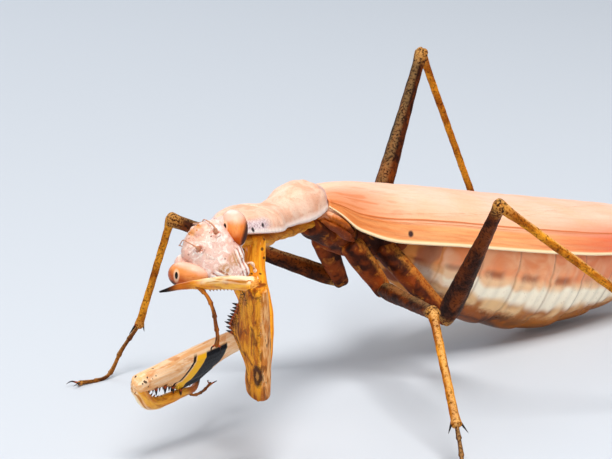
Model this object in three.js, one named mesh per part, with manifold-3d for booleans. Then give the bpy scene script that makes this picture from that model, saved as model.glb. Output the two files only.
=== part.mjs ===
// Praying mantis (Mantis religiosa, adult female, brown form): a still life-size model in millimetres.
// +Z is up, the head is toward -X and the animal's left side is -Y. The four walking feet stand on
// z = 0, and the origin is on that floor, under the middle of the whole animal.
import * as THREE from 'three';
import { mergeVertices } from 'three/addons/utils/BufferGeometryUtils.js';
import Module from 'manifold-3d';

const wasm = await Module();
wasm.setup();

// ---- driving dimensions -------------------------------------------------------------------

// Gap left between neighbouring pieces, and the thinnest wing.
const GAP = 0.25;
const WING_THICKNESS = 0.5;

// How the body is held: angles in degrees, heights above the floor in mm.
const POSE = {
  thoraxHeight: 13.9,
  bodyPitch: 12.3,
  bodyRoll: 0.9,
  prothoraxYaw: 28.6,
  prothoraxPitch: -1.6,
  headYaw: 34,
  headPitch: -12.6,
  headRoll: 49,
};

// Prothorax: its hinge on the body, its length, and where the fore coxae grow, from its rear end.
const PROTHORAX = { hinge: [-5, 0, 0.6], length: 21, coxaStation: 17.2 };

// Head: middle of the face ahead of the pronotum. Eyes: place and half-sizes in the head, how far
// each leans outward and backward in degrees, and how much it narrows toward its lower end.
const HEAD = { ahead: 2.95, aside: 0.1, drop: -1.55, vertex: 1.95, clypeus: -2.6, chin: -3.6 };
const EYE = { centre: [2.59, -0.36, -0.25], half: [0.97, 1.52, 1.1], tilt: 38.7, lean: 32, egg: 0.17 };

// Stations of the folded wings' roof, body frame: [x, half-width, ridge height, costal edge height].
const ROOF = [
  [-3.2, 2.5, 3.2, 0.9],
  [-1, 3.1, 3.6, -0.8],
  [3, 4.0, 3.95, -1.2],
  [10, 4.85, 4.1, -1.3],
  [18, 5.5, 4.3, -1.1],
  [26, 5.7, 4.5, -0.6],
  [34, 5.2, 4.3, 0.0],
  [40, 4.1, 3.6, 0.8],
  [43.2, 2.9, 3.0, 1.4],
  [44.7, 1.9, 2.7, 1.7],
  [45.3, 1.0, 2.5, 1.9],
];

// Hips in the body frame, left side; the right side mirrors y.
const HIPS = { mid: [-0.4, -1.8, -1.8], hind: [3.2, -2.0, -1.7] };

// Joints of the walking legs: trochanter, knee, ankle, and the point where the claws stand.
const WALKING = {
  mid_l: [[1.2, -3.4, 8.4], [-6.3, -16.2, 9.8], [-11.8, -23.8, 3.2], [-15.6, -28.8, 0]],
  mid_r: [[2.0, 2.6, 8.2], [-10.3, 10.5, 14.4], [-9.6, 15.8, 4.2], [-16.5, 16.0, 0]],
  hind_l: [[5.5, -6.6, 5.7], [-1.8, -19.4, 18.3], [12.4, -28.3, 5.2], [19.6, -31.4, 0]],
  hind_r: [[8.2, 6.0, 8.4], [19.8, 9.6, 25.2], [31.4, 12.6, 6.6], [37.2, 15.2, 0]],
};

// Joints of the raptorial legs, from the trochanter to the tip of the tibia's claw and of the tarsus,
// with the points that a bent coxa passes and how far the tibia bows away from the femur.
const RAPTORIAL = {
  fore_l: {
    trochanter: [-23.0, -13.5, 6.2],
    knee: [-30.5, -21.5, 17.0],
    tibiaEnd: [-29.7, -15.0, 16.1],
    clawTip: [-30.8, -11.2, 15.1],
    coxaBends: [[-19.7, -9.8, 14.4], [-20.8, -11.7, 11.2]],
    bow: 0.12,
    tarsus: [[-30.4, -16.3, 15.0], [-31.4, -17.8, 13.3], [-31.9, -18.6, 11.9]],
  },
  fore_r: {
    trochanter: [-13.1, -3.5, 7.7],
    knee: [-28.4, -5.7, 6.5],
    tibiaEnd: [-22.4, -3.8, 4.2],
    clawTip: [-19.2, -2.6, 5.0],
    coxaBends: [],
    bow: 1.1,
    tarsus: [[-20.6, -3.3, 3.6], [-18.6, -2.2, 3.2], [-17.0, -1.4, 3.5]],
  },
};

// How long the claws of the raptorial and of the walking feet are.
const CLAW = { raptorial: 0.8, walking: 1.0 };

const COLOURS = {
  pink: [0xf0c4a4, 0.5],
  eye: [0xd08a4a, 0.15],
  wing: [0xf6c096, 0.5],
  veinRed: [0xd9905c, 0.55],
  ochre: [0xcf8f3e, 0.5],
  brown: [0x6d3f22, 0.5],
  rust: [0x8a4c26, 0.5],
  cream: [0xd9b48c, 0.55],
  dark: [0x3c2416, 0.45],
};

// ---- geometry helpers ---------------------------------------------------------------------

const vec = (p) => new THREE.Vector3(...p);
const rad = THREE.MathUtils.degToRad;

// Turns a list of stations [t, a, b, ...] into a function of t that eases between them.
function profile(stations) {
  return (t) => {
    const last = stations.length - 1;
    let i = 0;
    while (i < last - 1 && t > stations[i + 1][0]) i += 1;
    const [from, to] = [stations[i], stations[i + 1]];
    const u = THREE.MathUtils.clamp((t - from[0]) / (to[0] - from[0]), 0, 1);
    return from.slice(1).map((value, k) => THREE.MathUtils.lerp(value, to[k + 1], u));
  };
}

// One closed geometry from points and triangles, turned so that its faces point out.
function closed(points, triangles) {
  let volume = 0;
  for (const [a, b, c] of triangles) {
    volume += points[a].dot(points[b].clone().cross(points[c]));
  }
  const outward = volume > 0 ? triangles : triangles.map(([a, b, c]) => [a, c, b]);
  const geometry = new THREE.BufferGeometry();
  const flat = points.flatMap((p) => p.toArray());
  geometry.setAttribute('position', new THREE.Float32BufferAttribute(flat, 3));
  geometry.setIndex(outward.flat());
  return geometry;
}

// A skin over rings of points, closed by a fan to an apex at each end.
function skin(rings, firstApex, lastApex) {
  const n = rings[0].length;
  const points = [...rings.flat(), firstApex, lastApex];
  const triangles = [];
  for (let r = 0; r + 1 < rings.length; r += 1) {
    for (let i = 0; i < n; i += 1) {
      const [a, b] = [r * n + i, r * n + ((i + 1) % n)];
      triangles.push([a, b, b + n], [a, b + n, a + n]);
    }
  }
  const tail = (rings.length - 1) * n;
  for (let i = 0; i < n; i += 1) {
    const j = (i + 1) % n;
    triangles.push([j, i, points.length - 2], [tail + i, tail + j, points.length - 1]);
  }
  return closed(points, triangles);
}

// A thick sheet between two equal grids of points, closed round its border.
function sheet(outer, inner) {
  const rows = outer.length;
  const columns = outer[0].length;
  const edge = columns - 1;
  const points = [...outer.flat(), ...inner.flat()];
  const at = (side, r, c) => side * rows * columns + r * columns + c;
  const triangles = [];
  const quad = (a, b, c, d) => triangles.push([a, b, c], [a, c, d]);
  for (let r = 0; r + 1 < rows; r += 1) {
    for (let c = 0; c + 1 < columns; c += 1) {
      quad(at(0, r, c), at(0, r + 1, c), at(0, r + 1, c + 1), at(0, r, c + 1));
      quad(at(1, r, c), at(1, r, c + 1), at(1, r + 1, c + 1), at(1, r + 1, c));
    }
    quad(at(0, r, 0), at(1, r, 0), at(1, r + 1, 0), at(0, r + 1, 0));
    quad(at(0, r, edge), at(0, r + 1, edge), at(1, r + 1, edge), at(1, r, edge));
  }
  for (let c = 0; c + 1 < columns; c += 1) {
    quad(at(0, 0, c), at(0, 0, c + 1), at(1, 0, c + 1), at(1, 0, c));
    quad(at(0, rows - 1, c), at(1, rows - 1, c), at(1, rows - 1, c + 1), at(0, rows - 1, c + 1));
  }
  return closed(points, triangles);
}

// A rounded limb along a path. A station is [t, half-width, height over, height under] along it,
// where "over" is toward the facing direction. grow swells it evenly, for cutting a neighbour free.
function limb({ path, stations, facing, sides = 8, steps = 6, dome = 0.7, grow = 0 }) {
  const capAngle = rad(50);
  const curve = path.length > 2
    ? new THREE.CatmullRomCurve3(path, false, 'centripetal')
    : new THREE.LineCurve3(path[0], path[1]);
  const size = profile(stations);
  const first = stations[0][0];
  const span = stations[stations.length - 1][0] - first;
  const frameAt = (t) => {
    const tangent = curve.getTangentAt(THREE.MathUtils.clamp(t, 0, 1));
    const side = tangent.clone().cross(facing).normalize();
    return { tangent, side, over: side.clone().cross(tangent), centre: curve.getPointAt(t) };
  };
  const ring = (t, scale, offset) => {
    const { tangent, side, over, centre } = frameAt(t);
    const [width, above, below] = size(t).map((value) => (value + grow) * scale);
    return Array.from({ length: sides }, (_, i) => {
      const angle = (2 * Math.PI * i) / sides;
      const height = Math.sin(angle) > 0 ? above : below;
      return centre.clone()
        .addScaledVector(side, width * Math.cos(angle))
        .addScaledVector(over, height * Math.sin(angle))
        .addScaledVector(tangent, offset);
    });
  };
  const capLength = (t) => dome * size(t)[0] + grow;
  const [start, end] = [first, first + span];
  const rings = [];
  rings.push(ring(start, Math.cos(capAngle), -capLength(start) * Math.sin(capAngle)));
  for (let i = 0; i <= steps; i += 1) {
    rings.push(ring(start + (span * i) / steps, 1, 0));
  }
  rings.push(ring(end, Math.cos(capAngle), capLength(end) * Math.sin(capAngle)));
  const [head, foot] = [frameAt(start), frameAt(end)];
  return skin(
    rings,
    head.centre.addScaledVector(head.tangent, -capLength(start)),
    foot.centre.addScaledVector(foot.tangent, capLength(end)),
  );
}

// A spine: a slim cone from its root to its tip.
function spike(root, tip, radius, sides = 3) {
  const along = tip.clone().sub(root).normalize();
  const side = along.clone().cross(new THREE.Vector3(0.3, 0.5, 0.81)).normalize();
  const over = side.clone().cross(along);
  const ring = Array.from({ length: sides }, (_, i) => {
    const angle = (2 * Math.PI * i) / sides;
    return root.clone()
      .addScaledVector(side, radius * Math.cos(angle))
      .addScaledVector(over, radius * Math.sin(angle));
  });
  return skin([ring], root.clone().addScaledVector(along, -radius), tip);
}

// A compound eye in the head's frame: an egg with its narrow end down, leaning outward and back.
function eyeBall(side, grow) {
  const ball = new THREE.SphereGeometry(1, 12, 8);
  ball.deleteAttribute('normal');
  ball.deleteAttribute('uv');
  const points = ball.attributes.position;
  for (let i = 0; i < points.count; i += 1) {
    const swell = EYE.egg * points.getY(i);
    points.setX(i, points.getX(i) * (1 + swell));
    points.setZ(i, points.getZ(i) * (1 + swell / 2));
  }
  const [x, y, z] = EYE.centre;
  ball.scale(...EYE.half.map((size) => size + grow));
  ball.rotateX(rad(-EYE.lean)).rotateZ(rad(-side * EYE.tilt)).translate(side * x, y, z);
  return mergeVertices(ball);
}

// ---- booleans -----------------------------------------------------------------------------

function solid(geometry) {
  return new wasm.Manifold(new wasm.Mesh({
    numProp: 3,
    vertProperties: new Float32Array(geometry.attributes.position.array),
    triVerts: new Uint32Array(geometry.index.array),
  }));
}

// The first solid less each of the others; only its largest body is kept.
function cut(body, ...tools) {
  const rest = tools.reduce((left, tool) => left.subtract(tool), body);
  return rest.decompose().sort((a, b) => b.volume() - a.volume())[0];
}

function join(...bodies) {
  return bodies.reduce((sum, body) => sum.add(body));
}

function toGeometry(body) {
  const { vertProperties, triVerts } = body.getMesh();
  const geometry = new THREE.BufferGeometry();
  geometry.setAttribute('position', new THREE.Float32BufferAttribute(vertProperties, 3));
  geometry.setIndex(Array.from(triVerts));
  return geometry;
}

// Everything under the floor, for cutting the feet flat.
const underFloor = (() => {
  const box = new THREE.BoxGeometry(200, 200, 20).translate(0, 0, -10);
  box.deleteAttribute('normal');
  box.deleteAttribute('uv');
  return solid(mergeVertices(box));
})();

// ---- frames -------------------------------------------------------------------------------

const rotation = (x, y, z, order) => new THREE.Matrix4().makeRotationFromEuler(
  new THREE.Euler(rad(x), rad(y), rad(z), order),
);

const bodyFrame = new THREE.Matrix4().makeTranslation(0, 0, POSE.thoraxHeight)
  .multiply(rotation(POSE.bodyRoll, POSE.bodyPitch, 0, 'YXZ'));

const prothoraxFrame = bodyFrame.clone()
  .multiply(new THREE.Matrix4().makeTranslation(...PROTHORAX.hinge))
  .multiply(rotation(0, POSE.prothoraxPitch, POSE.prothoraxYaw, 'ZYX'));

// Head frame: x to the animal's left, y to the vertex, z out of the face.
const headFrame = prothoraxFrame.clone()
  .multiply(new THREE.Matrix4().makeTranslation(-PROTHORAX.length - HEAD.ahead, HEAD.aside, HEAD.drop))
  .multiply(new THREE.Matrix4().makeBasis(vec([0, -1, 0]), vec([0, 0, 1]), vec([-1, 0, 0])))
  .multiply(rotation(POSE.headPitch, POSE.headYaw, POSE.headRoll, 'YXZ'));

const inFrame = (frame, p) => vec(p).applyMatrix4(frame);
const place = (geometry, frame) => geometry.applyMatrix4(frame);

// ---- the model ----------------------------------------------------------------------------

const mantis = new THREE.Group();
const UP = vec([0, 0, 1]);

function addPiece(name, body, [colour, roughness]) {
  const material = new THREE.MeshStandardMaterial({ color: colour, roughness, metalness: 0 });
  const mesh = new THREE.Mesh(toGeometry(body), material);
  mesh.name = name;
  mantis.add(mesh);
  return body;
}

// Both the piece and its swollen copy, made by one function of grow.
const pair = (make) => ({ body: make(0), cutter: make(GAP) });

function buildProthorax() {
  const path = [vec([0, 0, 0]), vec([-PROTHORAX.length, 0, 0])];
  // The shield's margin rises toward its rear lobe, so its middle line is bent there.
  const margin = [[0.8, 1.1], [-3, 0.15], [-8, -0.3], [-PROTHORAX.length, -0.3]];
  const shield = pair((grow) => solid(place(limb({
    path: margin.map(([x, z]) => vec([x, 0, z])),
    facing: UP,
    sides: 12,
    steps: 11,
    dome: 0.3,
    grow,
    stations: [
      [0.0, 1.8, 1.5, 0.4],
      [0.1, 2.15, 2.3, 0.4],
      [0.22, 2.1, 2.5, 0.4],
      [0.37, 1.7, 1.95, 0.35],
      [0.5, 1.75, 1.6, 0.3],
      [0.7, 2.5, 1.7, 0.3],
      [0.85, 2.15, 1.5, 0.3],
      [0.96, 1.6, 1.2, 0.3],
    ],
  }), prothoraxFrame)));
  const underside = pair((grow) => solid(place(limb({
    path: path.map((p) => p.clone().add(vec([0, 0, -1.2]))),
    facing: UP,
    sides: 8,
    steps: 8,
    dome: 0.4,
    grow,
    stations: [
      [0.12, 1.2, 0.1, 0.4],
      [0.3, 1.25, 0.2, 0.4],
      [0.5, 1.4, 0.25, 0.4],
      [0.7, 1.9, 0.25, 0.8],
      [0.82, 1.6, 0.25, 0.6],
      [0.93, 1.1, 0.25, 0.3],
    ],
  }), prothoraxFrame)));
  addPiece('pronotum', shield.body, COLOURS.pink);
  addPiece('prosternum', cut(underside.body, shield.cutter), COLOURS.cream);
  return { shield, underside };
}

function buildHead(prothorax) {
  const height = HEAD.vertex - HEAD.clypeus;
  const capsule = pair((grow) => solid(place(limb({
    path: [vec([0, HEAD.clypeus, 0]), vec([0, HEAD.vertex, 0])],
    facing: UP,
    sides: 12,
    steps: 10,
    dome: 0.12,
    grow,
    stations: [
      [0.0, 1.3, 0.8, 0.7],
      [0.12, 1.75, 1.0, 1.0],
      [0.3, 1.95, 1.15, 1.3],
      [0.48, 2.05, 1.2, 1.5],
      [0.64, 2.1, 1.2, 1.5],
      [0.76, 2.25, 1.1, 1.4],
      [0.85, 2.35, 0.9, 1.15],
      [0.92, 1.9, 0.75, 0.9],
      [0.97, 1.25, 0.5, 0.65],
      [1.0, 0.6, 0.3, 0.4],
    ],
  }), headFrame)));
  const eyes = [1, -1].map((side) => pair((grow) => solid(place(eyeBall(side, grow), headFrame))));
  addPiece('eye_l', eyes[0].body, COLOURS.eye);
  addPiece('eye_r', eyes[1].body, COLOURS.eye);
  addPiece('head', cut(capsule.body, eyes[0].cutter, eyes[1].cutter), COLOURS.pink);
  const jaws = pair((grow) => solid(place(limb({
    path: [vec([0, HEAD.clypeus + height * 0.08, 0.1]), vec([0, HEAD.chin, 0])],
    facing: UP,
    sides: 10,
    steps: 4,
    dome: 0.3,
    grow,
    stations: [
      [0.0, 1.3, 0.8, 0.8],
      [0.5, 1.2, 0.8, 0.9],
      [1.0, 0.7, 0.55, 0.6],
    ],
  }), headFrame)));
  addPiece('mouthparts', cut(jaws.body, capsule.cutter), COLOURS.cream);
  const collar = inFrame(prothoraxFrame, [-PROTHORAX.length + 1.2, 0, -0.45]);
  const nape = inFrame(headFrame, [0, -0.1, -0.6]);
  const neck = solid(limb({
    path: [collar, nape],
    facing: UP,
    sides: 8,
    steps: 2,
    stations: [[0, 1.0, 0.85, 0.85], [1, 0.9, 0.85, 0.85]],
  }));
  addPiece(
    'neck',
    cut(
      neck,
      prothorax.shield.cutter,
      prothorax.underside.cutter,
      capsule.cutter,
      ...eyes.map((eye) => eye.cutter),
    ),
    COLOURS.cream,
  );
  // Each feeler rises from its socket over the vertex, then lies back beside the prothorax.
  const sweeps = {
    antenna_l: { side: 1, back: [[-18.5, 3.4, -0.5], [-13, 3.5, -0.5], [-7, 3.5, -0.2]] },
    antenna_r: { side: -1, back: [[-18.5, 4.2, -2.4], [-13, 5.0, -3.2], [-7.5, 5.8, -3.4]] },
  };
  for (const [name, { side, back }] of Object.entries(sweeps)) {
    const rise = [[0.85, 0.5, 1.0], [0.95, 1.3, 1.7], [0.9, 2.2, 1.4], [0.8, 2.6, 0.2]];
    const feeler = solid(limb({
      path: [
        ...rise.map(([x, y, z]) => inFrame(headFrame, [side * x, y, z])),
        ...back.map((p) => inFrame(prothoraxFrame, p)),
      ],
      facing: vec([0, 0.2, 1]),
      sides: 5,
      steps: 9,
      stations: [[0, 0.34, 0.34, 0.34], [0.1, 0.27, 0.27, 0.27], [1, 0.25, 0.25, 0.25]],
    }));
    addPiece(name, cut(feeler, capsule.cutter), COLOURS.rust);
  }
  return capsule;
}

// A point of the wings' roof: across runs from -1, the left costal edge, over the ridge to +1.
const roofAt = profile(ROOF);
function roofPoint(x, across, inset) {
  const [halfWidth, ridge, edge] = roofAt(x);
  const angle = (across * Math.PI) / 2;
  const y = (halfWidth - inset) * Math.sin(angle);
  const z = edge + (ridge - inset - edge) * Math.cos(angle) ** 0.9;
  return vec([x, y, z]);
}

// A wing under that roof, as a sheet; its swollen copy cuts what lies below it.
function wing({ start, end, from, to, inset, columns }) {
  const stations = ROOF.map((row) => row[0]).filter((x) => x > start && x < end);
  const xs = [start, ...stations, end];
  const grid = (extra) => xs.map((x) => Array.from({ length: columns }, (_, i) => {
    const across = THREE.MathUtils.lerp(from, to, i / (columns - 1));
    return roofPoint(x, across, inset(across) + extra);
  }));
  return pair((grow) => solid(place(sheet(grid(-grow), grid(WING_THICKNESS + grow)), bodyFrame)));
}

function buildWings() {
  const tip = ROOF[ROOF.length - 1][0];
  const under = WING_THICKNESS + GAP;
  const tuck = (across) => under * (1 - THREE.MathUtils.smoothstep(across, 0.4, 0.62));
  const left = wing({ start: ROOF[0][0], end: tip, from: -1, to: 0.34, inset: () => 0, columns: 8 });
  const right = wing({ start: ROOF[0][0], end: tip, from: -0.3, to: 1, inset: tuck, columns: 8 });
  const hind = wing({ start: 3, end: 43.5, from: -0.6, to: 0.6, inset: () => 2 * under, columns: 7 });
  addPiece('tegmen_l', left.body, COLOURS.wing);
  addPiece('tegmen_r', right.body, COLOURS.wing);
  addPiece('hindwings', hind.body, COLOURS.veinRed);
  return [left.cutter, right.cutter, hind.cutter];
}

function buildTrunk(prothorax, wings) {
  const thorax = pair((grow) => solid(place(limb({
    path: [vec([-4.6, 0, -0.2]), vec([5.2, 0, -0.9])],
    facing: UP,
    sides: 12,
    steps: 6,
    dome: 0.15,
    grow,
    stations: [
      [0.0, 1.3, 1.0, 1.0],
      [0.2, 2.0, 1.6, 1.5],
      [0.5, 2.6, 2.2, 2.2],
      [0.8, 2.8, 2.4, 2.2],
      [1.0, 2.6, 1.9, 1.9],
    ],
  }), bodyFrame)));
  addPiece(
    'pterothorax',
    cut(thorax.body, prothorax.shield.cutter, prothorax.underside.cutter, ...wings),
    COLOURS.brown,
  );
  const abdomen = pair((grow) => solid(place(limb({
    path: [vec([5.2, 0, -1.6]), vec([40.5, 0, -1.4])],
    facing: UP,
    sides: 16,
    steps: 11,
    dome: 0.5,
    grow,
    stations: [
      [0.0, 2.3, 2.6, 1.8],
      [0.12, 3.4, 3.2, 4.0],
      [0.3, 4.5, 3.4, 6.0],
      [0.52, 4.9, 3.5, 6.8],
      [0.78, 4.1, 3.1, 5.0],
      [0.92, 2.6, 2.5, 2.9],
      [1.0, 1.4, 1.5, 1.4],
    ],
  }), bodyFrame)));
  addPiece('abdomen', cut(abdomen.body, thorax.cutter, ...wings), COLOURS.cream);
  for (const [name, side] of [['cercus_l', -1], ['cercus_r', 1]]) {
    const path = [[39.6, side * 1.3, -1.0], [42.0, side * 2.3, -0.9], [44.2, side * 2.6, -0.6]];
    const cercus = solid(limb({
      path: path.map((p) => inFrame(bodyFrame, p)),
      facing: UP,
      sides: 8,
      steps: 4,
      stations: [[0, 0.45, 0.4, 0.4], [0.5, 0.42, 0.36, 0.36], [1, 0.26, 0.26, 0.26]],
    }));
    addPiece(name, cut(cercus, abdomen.cutter), COLOURS.rust);
  }
  return { thorax, abdomen };
}

// Even stations for a round limb: [t, radius] pairs.
const round = (...pairs) => pairs.map(([t, r]) => [t, r, r, r]);

// A tarsus: five short joints along a path.
function tarsusSolid(path) {
  const joints = 5;
  const stations = [];
  for (let i = 0; i < joints; i += 1) {
    stations.push([i / joints, 0.26], [(i + 0.85) / joints, 0.33]);
  }
  stations.push([1, 0.27]);
  const facing = vec([0.1, 0.2, 1]);
  return solid(limb({ path, facing, sides: 6, steps: 8, stations: round(...stations) }));
}

// A pair of claws spread at a tarsus's tip.
function clawPair(tip, along, length) {
  const side = along.clone().cross(UP).normalize();
  return [-1, 1].map((turn) => {
    const root = tip.clone().addScaledVector(along, -0.15).addScaledVector(side, turn * 0.12);
    const end = tip.clone().addScaledVector(along, length).addScaledVector(side, turn * length * 0.6);
    return solid(spike(root, end, 0.26));
  });
}

// A segment's name from its leg's: mid_l and coxa give mid_coxa_l.
const named = (leg, segment) => leg.replace('_', `_${segment}_`);

function buildWalkingLeg(name, hip, thick, cutters) {
  const [trochanter, knee, ankle, foot] = WALKING[name].map(vec);
  const coxa = pair((grow) => solid(limb({
    path: [hip, trochanter],
    facing: UP,
    grow,
    steps: 4,
    stations: round([0, 0.95], [0.3, 0.9], [0.75, 0.75], [1, 0.7]),
  })));
  const femur = pair((grow) => solid(limb({
    path: [trochanter, knee],
    facing: UP,
    grow,
    steps: 6,
    stations: round(
      [0.03, thick * 0.8],
      [0.12, thick],
      [0.4, thick * 0.85],
      [0.8, 0.52],
      [0.93, 0.5],
      [1, 0.58],
    ),
  })));
  const tibia = pair((grow) => solid(limb({
    path: [knee, ankle],
    facing: UP,
    sides: 6,
    grow,
    steps: 4,
    stations: round([0.0, 0.42], [0.08, 0.36], [0.6, 0.34], [0.97, 0.42]),
  })));
  const along = ankle.clone().sub(knee).normalize();
  const side = along.clone().cross(UP).normalize();
  const spurs = [-1, 1].map((turn) => {
    const root = ankle.clone().addScaledVector(along, -0.5).addScaledVector(side, turn * 0.2);
    const tip = ankle.clone().addScaledVector(along, 0.9).addScaledVector(side, turn * 0.95);
    return solid(spike(root, tip, 0.22));
  });
  const level = foot.clone().sub(ankle).setZ(0).normalize();
  const toe = foot.clone().setZ(0.22);
  const ground = foot.clone().addScaledVector(level, -3.2).setZ(0.3);
  const instep = ankle.clone().lerp(ground, 0.55).add(vec([0, 0, 0.25]));
  const tarsus = tarsusSolid([ankle, instep, ground, toe]);
  const claws = clawPair(toe, level, CLAW.walking);
  addPiece(named(name, 'coxa'), cut(coxa.body, ...cutters), COLOURS.rust);
  addPiece(named(name, 'femur'), cut(femur.body, coxa.cutter, ...cutters), COLOURS.brown);
  addPiece(named(name, 'tibia'), cut(join(tibia.body, ...spurs), femur.cutter), COLOURS.ochre);
  const foothold = cut(join(tarsus, ...claws), tibia.cutter, ...spurs, underFloor);
  addPiece(named(name, 'tarsus'), foothold, COLOURS.dark);
}

function buildRaptorialLeg(name, side, prothorax) {
  const joints = RAPTORIAL[name];
  const root = inFrame(prothoraxFrame, [-PROTHORAX.coxaStation, side * 1.4, -1.2]);
  const trochanter = vec(joints.trochanter);
  const knee = vec(joints.knee);
  const tibiaEnd = vec(joints.tibiaEnd);
  const clawTip = vec(joints.clawTip);
  const femurAxis = knee.clone().sub(trochanter).normalize();
  const tibiaAxis = tibiaEnd.clone().sub(knee).normalize();
  // The spined edge of the femur faces the tibia as it folds.
  const spined = tibiaAxis.clone().addScaledVector(femurAxis, -tibiaAxis.dot(femurAxis)).normalize();
  const outer = femurAxis.clone().cross(spined);
  const coxa = pair((grow) => solid(limb({
    path: [root, ...joints.coxaBends.map(vec), trochanter],
    facing: spined,
    grow,
    steps: 6,
    stations: [[0.0, 0.7, 0.8, 0.8], [0.3, 0.7, 0.85, 0.85], [0.55, 0.85, 0.85, 0.85], [1, 0.7, 0.7, 0.7]],
  })));
  const femur = pair((grow) => solid(limb({
    path: [trochanter, knee],
    facing: spined,
    sides: 10,
    grow,
    steps: 9,
    dome: 1.0,
    stations: [
      [0.0, 0.7, 0.8, 0.95],
      [0.13, 0.7, 1.0, 1.0],
      [0.2, 0.75, 1.1, 1.05],
      [0.34, 0.8, 1.55, 1.05],
      [0.53, 0.85, 2.1, 1.05],
      [0.7, 0.8, 1.75, 1.0],
      [0.85, 0.75, 1.4, 0.95],
      [1.0, 0.65, 0.95, 0.85],
    ],
  })));
  const spineRow = (count, from, to, offset, long) => Array.from({ length: count }, (_, i) => {
    const t = from + ((to - from) * i) / (count - 1);
    const depth = 0.5 + 1.25 * Math.sin(Math.PI * THREE.MathUtils.clamp((t - 0.05) / 0.95, 0, 1));
    const at = trochanter.clone().lerp(knee, t).addScaledVector(outer, offset);
    const reach = depth + (i % 2 ? long * 0.7 : long);
    return solid(spike(
      at.clone().addScaledVector(spined, depth - 0.2),
      at.clone().addScaledVector(spined, reach + 0.1).addScaledVector(femurAxis, -0.4),
      0.2,
    ));
  });
  const innerSpines = spineRow(8, 0.52, 0.92, -side * 0.3, 0.95);
  const outerSpines = spineRow(4, 0.55, 0.88, side * 0.4, 1.2);
  // The tibia hinges on the spined side of the knee and bows a little away from the femur.
  const inward = femurAxis.clone()
    .addScaledVector(tibiaAxis, -femurAxis.dot(tibiaAxis))
    .normalize()
    .negate();
  const tibiaRoot = knee.clone().addScaledVector(spined, 0.45);
  const bow = tibiaRoot.clone().lerp(tibiaEnd, 0.45).addScaledVector(inward, -joints.bow);
  const bend = tibiaEnd.clone().addScaledVector(tibiaAxis, 1.6).lerp(clawTip, 0.35);
  const tibia = pair((grow) => solid(limb({
    path: [tibiaRoot, bow, tibiaEnd, bend, clawTip],
    facing: spined,
    sides: 7,
    grow,
    steps: 10,
    dome: 0.8,
    stations: [
      [0.0, 0.5, 0.52, 0.52],
      [0.1, 0.45, 0.48, 0.48],
      [0.55, 0.42, 0.44, 0.44],
      [0.68, 0.36, 0.36, 0.36],
      [0.9, 0.24, 0.22, 0.22],
      [1.0, 0.12, 0.12, 0.12],
    ],
  })));
  const teeth = Array.from({ length: 6 }, (_, i) => {
    const along = 0.32 + 0.63 * (i / 5);
    const sag = -4 * joints.bow * along * (1 - along);
    const at = tibiaRoot.clone().lerp(tibiaEnd, along).addScaledVector(inward, sag);
    return solid(spike(
      at.clone().addScaledVector(inward, 0.2),
      at.clone().addScaledVector(inward, 0.95).addScaledVector(tibiaAxis, 0.25),
      0.18,
    ));
  });
  const toes = joints.tarsus.map(vec);
  const tip = toes[toes.length - 1];
  const lastStep = tip.clone().sub(toes[toes.length - 2]).normalize();
  const claws = clawPair(tip, lastStep, CLAW.raptorial);
  const tarsus = join(tarsusSolid([tibiaEnd, ...toes]), ...claws);
  const armedFemur = join(femur.body, ...innerSpines, ...outerSpines);
  const socket = [prothorax.shield.cutter, prothorax.underside.cutter];
  addPiece(named(name, 'coxa'), cut(coxa.body, ...socket), COLOURS.ochre);
  addPiece(named(name, 'femur'), cut(armedFemur, coxa.cutter, tibia.cutter), COLOURS.ochre);
  addPiece(named(name, 'tibia'), join(tibia.body, ...teeth), COLOURS.ochre);
  addPiece(named(name, 'tarsus'), cut(tarsus, tibia.cutter, femur.cutter), COLOURS.dark);
}

const prothorax = buildProthorax();
buildHead(prothorax);
const wings = buildWings();
const { thorax, abdomen } = buildTrunk(prothorax, wings);
for (const [letter, side] of [['l', 1], ['r', -1]]) {
  buildRaptorialLeg(`fore_${letter}`, -side, prothorax);
  for (const [pairName, thick] of [['mid', 0.72], ['hind', 0.92]]) {
    const [x, y, z] = HIPS[pairName];
    const hip = inFrame(bodyFrame, [x, y * side, z]);
    buildWalkingLeg(`${pairName}_${letter}`, hip, thick, [thorax.cutter, abdomen.cutter]);
  }
}

// The origin is under the middle of the whole animal, at floor level.
const box = new THREE.Box3().setFromObject(mantis);
const middle = box.getCenter(new THREE.Vector3());
mantis.position.set(-middle.x, -middle.y, 0);
mantis.updateMatrixWorld(true);

export default mantis;
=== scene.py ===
"""Praying mantis: the looks of the still model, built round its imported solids.

Shapes are worked out in millimetres in the animal's own frames, then placed in metres.
Body frame: x runs to the tail, y to the animal's right and z up.
Head frame: x runs to the animal's left, y to the vertex and z out of the face.
"""

import math

import bmesh
import bpy
import numpy as np
from mathutils import Matrix, Vector


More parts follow.
